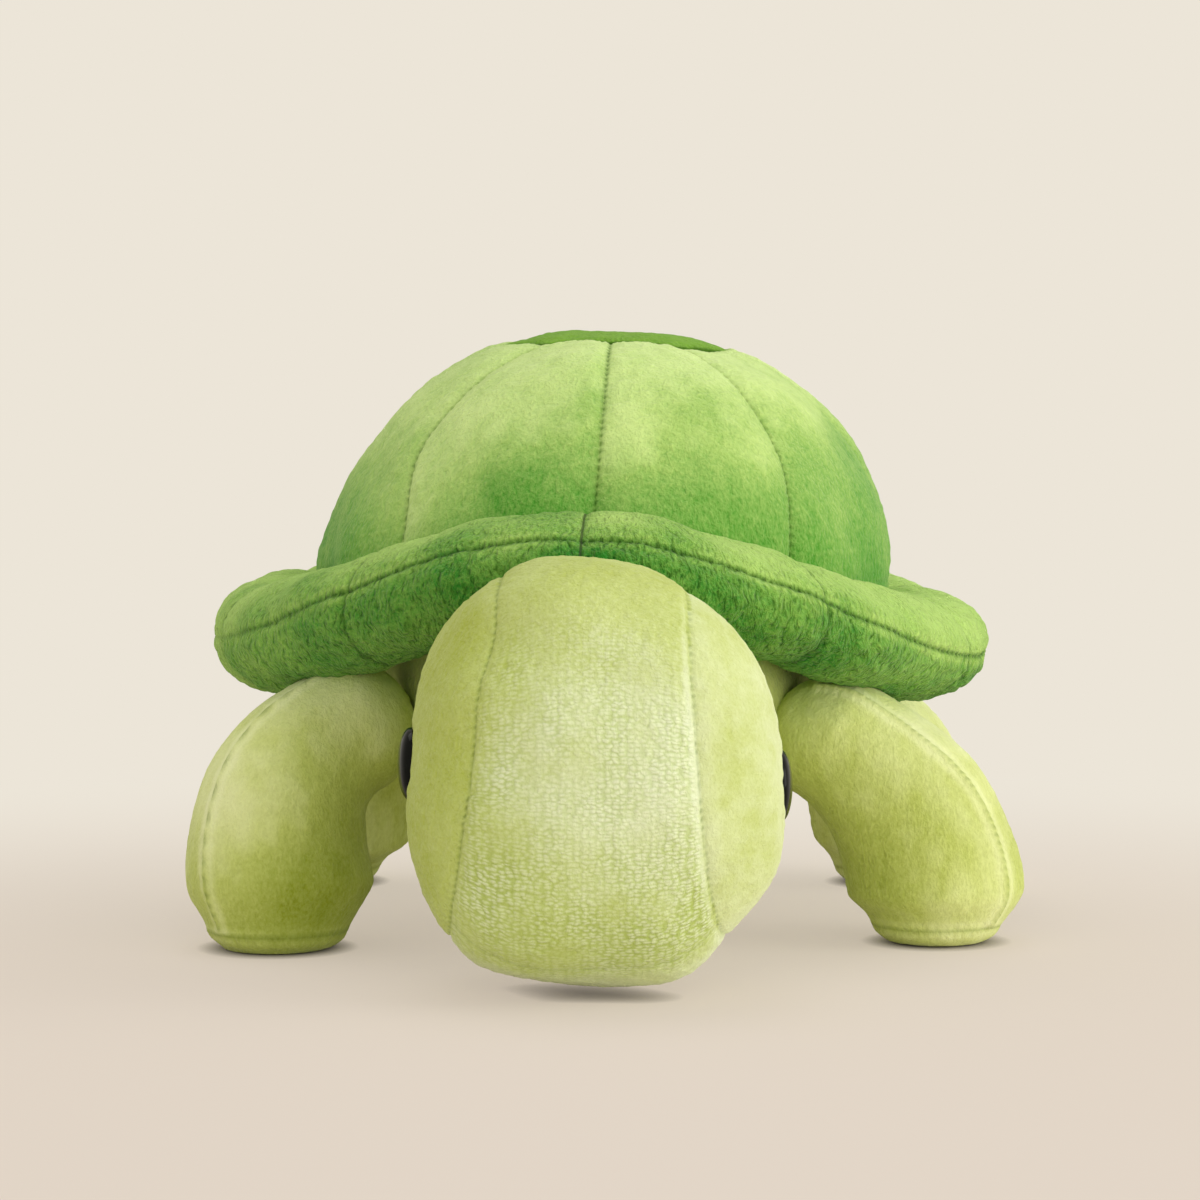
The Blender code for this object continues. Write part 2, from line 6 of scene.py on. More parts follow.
import bmesh
import bpy
import numpy as np
from bpy.props import FloatProperty, PointerProperty, StringProperty
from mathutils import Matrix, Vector


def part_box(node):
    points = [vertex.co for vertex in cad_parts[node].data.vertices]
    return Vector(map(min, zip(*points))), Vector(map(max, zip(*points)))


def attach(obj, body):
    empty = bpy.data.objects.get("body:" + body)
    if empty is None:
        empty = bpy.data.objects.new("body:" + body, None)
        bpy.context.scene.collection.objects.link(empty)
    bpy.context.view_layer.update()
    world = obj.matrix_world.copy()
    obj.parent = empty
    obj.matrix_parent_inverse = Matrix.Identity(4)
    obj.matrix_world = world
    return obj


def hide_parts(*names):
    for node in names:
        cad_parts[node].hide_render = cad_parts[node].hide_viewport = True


bl_info = {
    "name": "Stuffed Turtle",
    "version": (1, 0, 0),
    "blender": (4, 5, 0),
    "location": "3D View > Sidebar > Turtle",
    "description": "Builds the cloth, seams, eyes and studio of a stuffed toy turtle",
    "category": "Add Mesh",
}

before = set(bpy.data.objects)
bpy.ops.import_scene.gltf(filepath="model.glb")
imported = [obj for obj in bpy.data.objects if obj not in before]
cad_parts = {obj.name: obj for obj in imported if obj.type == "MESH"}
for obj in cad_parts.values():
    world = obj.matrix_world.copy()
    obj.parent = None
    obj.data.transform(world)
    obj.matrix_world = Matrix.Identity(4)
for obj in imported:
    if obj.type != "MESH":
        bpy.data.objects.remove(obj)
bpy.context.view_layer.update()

# The shell's centre is the middle of its top patch
PATCH_LOW, PATCH_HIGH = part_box("shell_top_patch")
SHELL_Y = (PATCH_LOW.y + PATCH_HIGH.y) / 2

# Panels of the shell: gores round the dome, and upper and lower panels round the brim
GORES = 8
BRIM_PANELS = 10

TAU = 2 * math.pi

# Corners closer than this are one, and soles stand this far over the floor, in metres
WELD = 0.00002
FLOOR_GAP = 0.0002


def millimetres(name, description, default):
    """Length property whose default is given in millimetres."""
    return FloatProperty(
        name=name, description=description, default=default / 1000, unit="LENGTH", precision=5
    )


def degrees(name, description, default):
    """Angle property whose default is given in degrees."""
    return FloatProperty(name=name, description=description, default=math.radians(default), subtype="ANGLE")


def plain_number(name, description, default):
    """Plain number property."""
    return FloatProperty(name=name, description=description, default=default)


def hex_colour(name, description, default):
    """Colour property written as an sRGB hex value."""
    return StringProperty(name=name, description=description, default=default)


class SeamSettings(bpy.types.PropertyGroup):
    """Sizes of the sewn seams and of the cloth's unevenness."""

    crease_depth: millimetres("Crease depth", "Depth of the narrow crease on a seam", 0.65)
    crease_width: millimetres("Crease width", "Half width of the narrow crease", 0.5)
    valley_depth: millimetres("Valley depth", "Depth of the soft dip beside a seam", 0.55)
    valley_width: millimetres("Valley width", "Half width of the soft dip", 2.6)
    stitch_pitch: millimetres("Stitch pitch", "Length of one stitch", 2.5)
    pucker_depth: millimetres("Pucker depth", "Height of the puckers that the stitches pull up", 0.24)
    # The dark lines of the seams are painted shade in their creases and stitch holes
    fine_line: millimetres("Fine line", "Half width of the dark line of a light seam", 0.5)
    broad_line: millimetres("Broad line", "Half width of the dark line of a deep seam", 0.6)
    lump_height: millimetres("Lump height", "Unevenness of the stuffing under the cloth", 0.35)
    nap_height: millimetres("Nap height", "Unevenness of the pile itself", 0.09)


class ShellSettings(bpy.types.PropertyGroup):
    """Sizes of the dome and of the stuffed roll round it."""

    dome_half_width: millimetres("Dome half width", "Half the dome's breadth", 77.6)
    dome_half_length: millimetres("Dome half length", "Half the dome's length", 84)
    dome_height: millimetres("Dome height", "From the dome's girth to its top", 62.4)
    girth_height: millimetres("Girth height", "Height of the dome's girth", 97)
    breadth_fullness: plain_number("Breadth fullness", "Flatness of the dome's top", 2.6)
    rise_fullness: plain_number("Rise fullness", "Fullness of the dome's shoulders", 1.55)
    gore_puff: millimetres("Gore puff", "How far a gore rises between its seams", 1.2)
    gore_tuck: millimetres("Gore tuck", "How far the gores run down inside the roll", 9)
    patch_radius: millimetres("Patch radius", "Centre of the patch to one of its corners", 32.2)
    patch_front: plain_number("Patch front", "Share by which the patch falls short in front", 0.26)
    patch_edge: millimetres("Patch edge", "Thickness of the patch's edge", 2)
    patch_bed: millimetres("Patch bed", "How deep the gores lie under the patch", 2.8)
    brim_half_width: millimetres("Brim half width", "Half the brim's breadth", 106)
    brim_half_length: millimetres("Brim half length", "Half the brim's length", 112)
    roll_half_width: millimetres("Roll half width", "Half the roll's breadth", 20)
    roll_half_height: millimetres("Roll half height", "Half the roll's thickness", 14.3)
    roll_side_height: millimetres("Roll side height", "Height of the roll's middle at the sides", 76.0)
    roll_front_lift: millimetres("Roll front lift", "How much higher it runs at the front", 24.2)
    roll_rear_lift: millimetres("Roll rear lift", "How much higher it runs at the rear", 14)
    roll_puff: millimetres("Roll puff", "How far a brim panel rises between its seams", 0.7)
    roll_sag: millimetres("Roll sag", "How much the roll sags on the toy's right, and rises on its left", 1.6)
    seam_side: degrees("Seam at the sides", "Where the edge seam lies on the roll at the sides", -5)
    seam_front: degrees("Seam rise in front", "How much higher on the roll it lies in front", 43)
    seam_rear: degrees("Seam rise behind", "How much higher on the roll it lies behind", 15)
    lower_reach: degrees("Lower reach", "How far round the roll a lower panel runs from the edge seam", 165)
    inner_turn: degrees("Inner turn", "Turn of the roll's hidden inner side, where its panels end", 200)
    lean: degrees("Lean", "Lean of the shell towards the toy's left", 1.2)
    lean_height: millimetres("Lean height", "Height of the line about which the shell leans", 90)
    dome_shear: plain_number("Dome shear", "Shift of the dome to the toy's left per unit of height", 0.03)
    dome_bow: millimetres("Dome bow", "Shift of the dome's shoulders to the toy's left", 1.0)
    dome_turn: degrees("Dome turn", "Turn of the gores towards the toy's right", 3.1)
    dome_skew: degrees("Dome skew", "Further turn of the gores on the toy's left, and less on its right", 4.3)
    seam_bow: degrees("Seam bow", "Turn that bows the two front gore seams outward", 4.65)
    bow_skew: degrees("Bow skew", "How much more the seam on the toy's right bows, and the other less", 1.45)
    bow_height: millimetres("Bow height", "Height at which these seams bow most", 132)
    bow_reach: millimetres("Bow reach", "Height over which their bow fades", 18)
    brim_turn: degrees("Brim turn", "Turn of the brim's seams towards the toy's right", 3.0)


class HeadSettings(bpy.types.PropertyGroup):
    """Sizes of the head and its eyes."""

    half_width: millimetres("Half width", "Half the head's breadth", 46)
    half_depth: millimetres("Half depth", "Half the head's depth, front to back", 38)
    crown_height: millimetres("Crown height", "Head's middle up to its crown", 53.75)
    chin_depth: millimetres("Chin depth", "Head's middle down to its chin", 50.2)
    aside: millimetres("Aside", "Middle of the head towards the toy's left", -2.0)
    crown_lean: millimetres("Crown lean", "How far the crown lies towards the toy's right", 3.4)
    chin_lean: millimetres("Chin lean", "How far the chin lies towards the toy's right", 3.2)
    centre_height: millimetres("Centre height", "Height of the head's middle", 53.25)
    reach: millimetres("Reach", "Shell centre to head centre", 142)
    fullness: plain_number("Fullness", "Roundness of the head seen from the front", 2.42)
    jowl: plain_number("Jowl", "How much squarer the chin is than the crown", 0.40)
    side_fullness: plain_number("Side fullness", "Roundness of the head seen from the side", 2.3)
    jaw: plain_number("Jaw", "How much squarer the jaw is than the brow, seen from the side", 0.5)
    strip_front: millimetres("Strip at the face", "Middle plane to the middle strip's edges in front", 27.2)
    strip_change: millimetres("Strip taper", "How much narrower the strip is at the crown", 4.5)
    strip_flare: millimetres("Strip flare", "How much wider the strip is at the toy's right jaw", 5)
    strip_shift: millimetres("Strip shift", "How far the strip lies towards the toy's right", 2.6)
    jaw_tuck: millimetres("Jaw tuck", "How far the strip's seams draw the jaw in under the face", 1.7)
    jaw_reach: millimetres("Jaw reach", "How far from these seams the jaw is drawn in", 10)
    chin_turn: degrees("Chin seam", "Where the chin's seam crosses the strip", -58)
    chin_clearance: millimetres("Chin clearance", "Chin above the floor", 2.6)
    eye_radius: millimetres("Eye radius", "Radius of a safety eye", 9)
    eye_rise: millimetres("Eye rise", "How far a safety eye's dome stands over its rim", 3.3)
    eye_sink: millimetres("Eye sink", "How far the eye's rim is pulled into the cheek", 1.3)
    eye_drop: millimetres("Eye drop", "How far under the head's middle the left eye is, the right over", 2.65)


class LimbSettings(bpy.types.PropertyGroup):
    """Sizes of the legs, the body, the neck and the tail."""

    leg_radius: millimetres("Leg radius", "Radius of a leg without its swelling", 22.5)
    front_hip_reach: millimetres("Front hip reach", "Shell centre forward to the front hips", 57)
    rear_hip_reach: millimetres("Rear hip reach", "Shell centre back to the rear hips", 52)
    sole_curl: millimetres("Sole curl", "How far the edge of a sole curls in", 5.6)
    seam_turn: degrees("Leg seam", "How far forward of its outer side a leg is sewn", 42)
    body_half_width: millimetres("Body half width", "Half the body's breadth", 62)
    body_half_length: millimetres("Body half length", "Half the body's length", 88)
    body_half_height: millimetres("Body half height", "Half the body's full height", 34)
    body_girth_height: millimetres("Body girth height", "Height of the body's girth", 64)
    body_fullness: plain_number("Body fullness", "Roundness of the body's sections", 2.2)
    body_top: millimetres("Body top", "Height of the flat on which the shell is sewn", 75.7)
    neck_radius: millimetres("Neck radius", "Radius of the neck", 24.5)
    neck_half_length: millimetres("Neck half length", "Half the neck's length", 28)
    neck_height: millimetres("Neck height", "Height of the neck's middle", 51)
    neck_reach: millimetres("Neck reach", "Shell centre forward to the neck's middle", 88)
    tail_radius: millimetres("Tail radius", "Radius of the tail's root", 12.5)
    tail_length: millimetres("Tail length", "Root to tip", 36)
    tail_seat: millimetres("Tail seat", "Shell centre back to the tail's root", 86)
    tail_height: millimetres("Tail height", "Height of the tail's root", 54)
    tail_droop: millimetres("Tail droop", "How much lower the tip hangs", 4)


class ClothSettings(bpy.types.PropertyGroup):
    """Colours of the pieces."""

    # Each piece runs from its shaded to its lit pile, two tones of one colour, by random tone and by a
    # paleness laid out on the piece, part nap and part painted light and shade; its palest tone is a painted
    # highlight
    dome_dark: hex_colour("Dome, shaded pile", "Pile that leans away", "#48942a")
    dome_light: hex_colour("Dome, lit pile", "Pile that leans to the light", "#d3eb88")
    dome_highlight: hex_colour("Dome, palest pile", "Fibre ends in the light", "#daefa8")
    brim_dark: hex_colour("Brim, shaded pile", "Pile that leans away", "#338829")
    brim_light: hex_colour("Brim, lit pile", "Pile that leans to the light", "#b2da68")
    brim_highlight: hex_colour("Brim, palest pile", "Fibre ends in the light", "#bcdc7c")
    patch_dark: hex_colour("Patch, shaded pile", "Pile that leans away", "#599026")
    patch_light: hex_colour("Patch, lit pile", "Pile that leans to the light", "#90ba46")
    skin_dark: hex_colour("Skin, shaded pile", "Pile that leans away", "#acb94e")
    skin_light: hex_colour("Skin, lit pile", "Pile that leans to the light", "#dae5a2")
    skin_highlight: hex_colour("Skin, palest pile", "Fibre ends in the light", "#ecf2d8")
    limb_dark: hex_colour("Limbs, shaded pile", "Pile that leans away", "#8f9e2c")
    limb_light: hex_colour("Limbs, lit pile", "Pile that leans to the light", "#dfe98c")
    limb_highlight: hex_colour("Limbs, palest pile", "Fibre ends in the light", "#f0f3c8")


class StudioSettings(bpy.types.PropertyGroup):
    """Camera, backdrop and the room's light."""

    camera_distance: millimetres("Camera distance", "Camera in front of the shell's centre", 1165)
    camera_height: millimetres("Camera height", "Height of the lens", 166.6)
    camera_aside: millimetres("Camera aside", "Camera to the side of the middle plane", -0.8)
    camera_pitch: degrees("Camera pitch", "Downward turn of the camera", 3.955)
    lens: plain_number("Lens", "Focal length in millimetres on a 36 mm sensor", 126.9)
    floor_colour: hex_colour("Floor", "Matt paper under the toy", "#f0e6da")
    floor_tone: hex_colour("Floor tone", "Tone that the lit floor takes near the toy", "#d9ccbe")
    wall_colour: hex_colour("Wall", "Matt paper behind the toy", "#ece5d8")
    paper_near: millimetres("Paper near", "Where the floor starts to blend into the backdrop", 200)
    paper_far: millimetres("Paper far", "Where it has done so", 620)
    room_light: plain_number("Room light", "Strength of the light from all round", 0.70)


# Helpers for surfaces

def power(value, exponent):
    """The value's size to the exponent, with the value's own sign."""
    return np.sign(value) * np.abs(value) ** exponent


def bell(distance, width):
    """1 at no distance, falling off as a Gaussian of the given width."""
    return np.exp(-(distance / width) ** 2)


def step_up(value, softness=1.0):
    """A soft step from 0 below a value of 0 to 1 above it: the logistic curve."""
    return 1 / (1 + np.exp(-value / softness))


def pillow(part):
    """0 at both ends of a share from 0 to 1 and near 1 between: one less the fourth power."""
    return 1 - (2 * np.clip(part, 0, 1) - 1) ** 4


def crowded(count, pull):
    """Shares from 0 up to 1, left out, that crowd at both ends: a line mixed with a cosine."""
    line = np.arange(count) / count
    return line * (1 - pull) + (1 - np.cos(line * math.pi)) / 2 * pull


def crowded_circle(panels, count, pull):
    """Angles of a circle, as one row, that crowd at the seams between its panels."""
    return np.concatenate([(index + crowded(count, pull)) * TAU / panels for index in range(panels)])[None, :]


def circle(count):
    """Even angles of a whole circle."""
    return np.arange(count) / count * TAU


def off_seam(theta, sector):
    """Angle from the nearest of the seams that stand a sector apart."""
    return np.mod(theta + sector / 2, sector) - sector / 2


def off_angle(theta, middle):
    """Angle from a middle angle, the shorter way round."""
    return np.angle(np.exp(1j * (theta - middle)))


def waves(points, size, seed, count=26):
    """Smooth unevenness: sine waves in many directions, about one size long, summed to about +-1."""
    source = np.random.default_rng(seed)
    total = np.zeros(points.shape[:-1])
    for _ in range(count):
        way = source.normal(size=3)
        way *= TAU / size * source.uniform(0.6, 1.5) / np.linalg.norm(way)
        total += np.sin(points @ way + source.uniform(0, TAU))
    return total / math.sqrt(count / 2)


# Each piece's lumps of stuffing and waves of pile: sizes in metres, shares of their heights, random seeds
Uneven = namedtuple("Uneven", "lump_size nap_size lumps nap lump_seed nap_seed")
UNEVEN = {
    "dome": Uneven(0.034, 0.0042, 1.2, 1.0, 3, 4),
    "patch": Uneven(0.024, 0.0040, 1.0, 1.0, 5, 6),
    "brim": Uneven(0.026, 0.0045, 1.3, 1.2, 11, 12),
    "head": Uneven(0.034, 0.0035, 1.5, 1.0, 21, 22),
    "leg": Uneven(0.034, 0.0035, 0.8, 0.6, 31, 41),
    "body": Uneven(0.030, 0.0035, 1.3, 1.0, 51, 52),
    "neck": Uneven(0.016, 0.0035, 1.0, 1.0, 61, 62),
    "tail": Uneven(0.016, 0.0035, 0.6, 1.0, 71, 72),
}


def unevenness(points, seams, piece, number=0, lumps=1.0, nap=1.0):
    """Relief of a piece's stuffing and pile: its lumps plus the pile's own finer waves."""
    kind = UNEVEN[piece]
    stuffing = waves(points, kind.lump_size, kind.lump_seed + number) * kind.lumps * lumps
    pile = waves(points, kind.nap_size, kind.nap_seed + number, 60) * kind.nap * nap
    return seams.lump_height * stuffing + seams.nap_height * pile


def outward(points, round_columns=True, round_rows=False):
    """Unit normals of a table of points: the cross product of its column and row differences."""
    if round_columns:
        across = np.roll(points, -1, axis=1) - np.roll(points, 1, axis=1)
    else:
        across = np.gradient(points, axis=1)
    if round_rows:
        along = np.roll(points, -1, axis=0) - np.roll(points, 1, axis=0)
    else:
        along = np.gradient(points, axis=0)
    normal = np.cross(across, along)
    size = np.linalg.norm(normal, axis=2, keepdims=True)
    return normal / np.maximum(size, 1e-12)


def seam_relief(aside, along, seams):
    """Dip of a seam: a narrow crease, a soft valley and puckers, each a bell that follows the stitches."""
    stitch = np.cos(TAU * along / seams.stitch_pitch)
    crease = seams.crease_depth * (0.7 + 0.3 * stitch) * bell(aside, seams.crease_width)
    valley = seams.valley_depth * bell(aside, seams.valley_width)
    half = seams.valley_width / 2
    pucker = seams.pucker_depth * stitch * bell(np.abs(aside) - half, half)
    return pucker - crease - valley


def stitches(along, seams, swing):
    """Strength of a seam's dark line, painted shade in its crease, from stitch to stitch: a cosine between 1
    and 1 less twice its swing.
    """
    return 1 - swing + swing * np.cos(TAU * along / seams.stitch_pitch)


def leaned(shell, points, shear=0.0):
    """Points turned about the line through the shell along Y, then shifted along X with their height."""
    x, z = points[..., 0], points[..., 2] - shell.lean_height
    cos, sin = math.cos(shell.lean), math.sin(shell.lean)
    lifted = z * cos - x * sin + shell.lean_height
    return np.stack([x * cos + z * (sin + shear), points[..., 1], lifted], axis=-1)


def keep(mesh, name, values):
    """Keep a number or a vector for each corner of a mesh under a name that its material reads."""
    kind, field = ("FLOAT", "value") if values.ndim == 2 else ("FLOAT_VECTOR", "vector")
    data = mesh.attributes.new(name, kind, "POINT").data
    data.foreach_set(field, values.ravel().astype(np.float32))


def table_mesh(name, points, seam, cloth=None, round_columns=True, round_rows=False, worn=None):
    """Mesh of a table of points that keeps its seams, whose dark lines are painted shade, its wear, and its
    cloth: the run across and along it in metres and how pale its pile lies, which carries painted light and
    shade."""
    rows, columns = points.shape[:2]
    row_ends = np.arange(rows if round_rows else rows - 1)
    column_ends = np.arange(columns if round_columns else columns - 1)
    row, column = np.meshgrid(row_ends, column_ends, indexing="ij")
    next_row, next_column = (row + 1) % rows, (column + 1) % columns
    corners = [(row, column), (row, next_column), (next_row, next_column), (next_row, column)]
    faces = np.stack([r * columns + c for r, c in corners], axis=-1).reshape(-1, 4)
    mesh = bpy.data.meshes.new(name)
    mesh.from_pydata(points.reshape(-1, 3), [], faces)
    keep(mesh, "seam", seam)
    if cloth is not None:
        keep(mesh, "cloth", np.stack(np.broadcast_arrays(*cloth, seam)[:3], axis=-1))
    if worn is not None:
        keep(mesh, "worn", worn)
    work = bmesh.new()
    work.from_mesh(mesh)
    bmesh.ops.remove_doubles(work, verts=work.verts, dist=WELD)
    work.to_mesh(mesh)
    work.free()
    mesh.shade_smooth()
    return mesh


def add_piece(name, mesh, material, body, nodes):
    """Object of a finished mesh that rides on a body and stands for its plain solids."""
    obj = bpy.data.objects.new(name, mesh)
    bpy.context.scene.collection.objects.link(obj)
    mesh.materials.append(material)
    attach(obj, body)
    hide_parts(*nodes)
    return obj


# Materials

def linear(code):
    """Linear colour, with its alpha, of an sRGB hex value."""
    values = [int(code[index:index + 2], 16) / 255 for index in (1, 3, 5)]
    return (*(v / 12.92 if v <= 0.04045 else ((v + 0.055) / 1.055) ** 2.4 for v in values), 1)


def per_metre(size):
    """Scale of a pattern whose marks are a size in millimetres apart."""
    return 1000 / size


def add_node(tree, kind, settings=None, links=None):
    """Add a node, set its sockets or fields by name and link sockets from other nodes."""
    node = tree.nodes.new(kind)
    for key, value in (settings or {}).items():
        if isinstance(key, int) or key in node.inputs:
            node.inputs[key].default_value = value
        else:
            setattr(node, key, value)
    for key, socket in (links or {}).items():
        tree.links.new(socket, node.inputs[key])
    return node


def weighted(tree, parts):
    """Sum of sockets, each times its own weight."""
    total = None
    for socket, weight in parts:
        links = {0: socket} if total is None else {0: socket, 2: total}
        settings = {"operation": "MULTIPLY_ADD", 1: weight, 2: 0.0}
        total = add_node(tree, "ShaderNodeMath", settings, links).outputs[0]
    return total


def brushed_pile(tree, place, nap, shades, tufts, combed):
    """Colour and height of brushed pile: its lean, patches, tufts that part, and fibre ends, drawn coarser
    than real ones so that they show. Its palest tone is a painted highlight where the patches and the nap,
    with its painted light, lean alike."""
    dark, light, bloom = (linear(shade) for shade in shades)
    brushed = add_node(tree, "ShaderNodeMapping", {"Scale": (1, 1, combed)}, {"Vector": place}).outputs[0]
    lean = add_node(
        tree, "ShaderNodeTexNoise", {"Scale": per_metre(20.83), "Detail": 2.0}, {"Vector": place}
    ).outputs[0]
    patch = add_node(
        tree, "ShaderNodeTexNoise", {"Scale": per_metre(6.667), "Detail": 2.0}, {"Vector": brushed}
    ).outputs[0]
    tuft = add_node(
        tree, "ShaderNodeTexNoise",
        {"Scale": per_metre(1.786), "Detail": 2.0, "Roughness": 0.6, "Distortion": 0.6}, {"Vector": brushed},
    ).outputs[0]
    fibre = add_node(
        tree, "ShaderNodeTexNoise", {"Scale": per_metre(0.8696), "Detail": 2.0, "Roughness": 0.7},
        {"Vector": brushed},
    ).outputs[0]
    parts = ((lean, 0.40), (patch, 0.40), (tuft, tufts * 1.6), (fibre, 0.75), (nap, 1.0))
    middle = sum(weight for _, weight in parts) / 2
    spread = add_node(
        tree, "ShaderNodeMapRange", {"From Min": middle - 0.62, "From Max": middle + 0.62},
        {"Value": weighted(tree, parts)},
    ).outputs[0]
    pile = add_node(tree, "ShaderNodeMix", {"data_type": "RGBA", 6: dark, 7: light}, {0: spread}).outputs[2]
    # Painted highlight: the palest tone, mixed in where the patches and the nap are both high
    ends = add_node(
        tree, "ShaderNodeMapRange", {"From Min": 0.75, "From Max": 1.35, "To Max": 0.6},
        {"Value": weighted(tree, ((patch, 0.5), (nap, 1.0)))},
    ).outputs[0]
    pile = add_node(tree, "ShaderNodeMix", {"data_type": "RGBA", 7: bloom}, {0: ends, 6: pile}).outputs[2]
    return pile, weighted(tree, ((tuft, 0.9), (fibre, 0.9), (patch, 0.5)))


def combed_crests(tree, run, nap, pile, height, comb):
    """Crests of longer pile that a comb leaves, about 1 mm by 2.5 mm and slantwise, with painted shade at the
    roots between them, deepest where the nap is shaded: gives the pile's colour and height with them."""
    wander = add_node(
        tree, "ShaderNodeTexNoise", {"Scale": per_metre(8.333), "Detail": 2.0}, {"Vector": run}
    ).outputs["Color"]
    bent = add_node(
        tree, "ShaderNodeVectorMath", {"operation": "MULTIPLY_ADD", 1: (0.005, 0.005, 0.0)},
        {0: wander, 2: run},
    ).outputs[0]
    strokes = add_node(
        tree, "ShaderNodeMapping",
        {"Rotation": (0, 0, 0.6), "Scale": (per_metre(1.0204), per_metre(2.5), 0.0)}, {"Vector": bent},
    ).outputs[0]
    crest = add_node(
        tree, "ShaderNodeTexNoise", {"Scale": 1.0, "Detail": 2.0, "Roughness": 0.55}, {"Vector": strokes}
    ).outputs[0]
    # Painted shade at the roots between the crests, deeper where the nap's paleness is low
    root = add_node(
        tree, "ShaderNodeMapRange", {"From Min": 0.52, "From Max": 0.30, "To Max": comb}, {"Value": crest}
    ).outputs[0]
    deep = add_node(
        tree, "ShaderNodeMapRange", {"From Min": 0.9, "From Max": 0.3, "To Min": 0.25}, {"Value": nap}
    ).outputs[0]
    root = add_node(tree, "ShaderNodeMath", {"operation": "MULTIPLY"}, {0: root, 1: deep}).outputs[0]
    pile = add_node(
        tree, "ShaderNodeMix", {"data_type": "RGBA", "blend_type": "MULTIPLY", 7: (0.30, 0.42, 0.22, 1)},
        {0: root, 6: pile},
    ).outputs[2]
    return pile, weighted(tree, ((height, 0.7), (crest, 1.3)))


def knitted_rows(tree, run, pile, height, rows):
    """Loops of the knit where the pile is worn thin, in rows 1 mm apart and 1.8 mm long, pulled out of line
    by the brushing: pale where a loop stands up, partly the paler knit and partly a painted highlight, and
    darker in the gaps, painted shade. Gives the pile's colour and height."""
    pull = add_node(
        tree, "ShaderNodeTexNoise", {"Scale": per_metre(3.03), "Detail": 2.0, "Roughness": 0.6},
        {"Vector": run},
    ).outputs["Color"]
    pulled = add_node(
        tree, "ShaderNodeVectorMath", {"operation": "MULTIPLY_ADD", 1: (0.0022, 0.0016, 0.0)},
        {0: pull, 2: run},
    ).outputs[0]
    grid = add_node(
        tree, "ShaderNodeMapping", {"Scale": (per_metre(1.786), per_metre(1.0204), 0.0)}, {"Vector": pulled}
    ).outputs[0]
    loop = add_node(
        tree, "ShaderNodeTexVoronoi",
        {"voronoi_dimensions": "2D", "feature": "F1", "Scale": 1.0, "Randomness": 0.55}, {"Vector": grid},
    ).outputs["Distance"]
    knit = add_node(
        tree, "ShaderNodeMapRange", {"From Min": 0.62, "From Max": 0.12}, {"Value": loop}
    ).outputs[0]
    patchy = add_node(
        tree, "ShaderNodeTexNoise", {"Scale": per_metre(4.167), "Detail": 3.0, "Roughness": 0.65},
        {"Vector": run},
    ).outputs[0]
    ridge = add_node(tree, "ShaderNodeMath", {"operation": "MULTIPLY"}, {0: knit, 1: patchy}).outputs[0]
    pale = add_node(
        tree, "ShaderNodeMapRange", {"From Min": 0.05, "From Max": 0.50, "To Max": 1.0}, {"Value": ridge}
    ).outputs[0]
    gap_shade = add_node(tree, "ShaderNodeMapRange", {"To Min": 1.0, "To Max": 0.0}, {"Value": pale}).outputs[0]
    worn = add_node(tree, "ShaderNodeAttribute", {"attribute_name": "worn"}).outputs["Fac"]
    shown = add_node(tree, "ShaderNodeMath", {"operation": "MULTIPLY", 1: rows}, {0: worn}).outputs[0]
    gap_shade, pale, ridge = (
        add_node(tree, "ShaderNodeMath", {"operation": "MULTIPLY"}, {0: part, 1: shown}).outputs[0]
        for part in (gap_shade, pale, ridge)
    )
    # Painted shade in the gaps between the loops, then the loops' pale tone, partly painted highlight
    pile = add_node(
        tree, "ShaderNodeMix", {"data_type": "RGBA", "blend_type": "MULTIPLY", 7: (0.70, 0.79, 0.53, 1)},
        {0: gap_shade, 6: pile},
    ).outputs[2]
    pile = add_node(
        tree, "ShaderNodeMix", {"data_type": "RGBA", 7: linear("#f2fad8")}, {0: pale, 6: pile}
    ).outputs[2]
    return pile, weighted(tree, ((height, 0.6), (ridge, 1.3)))


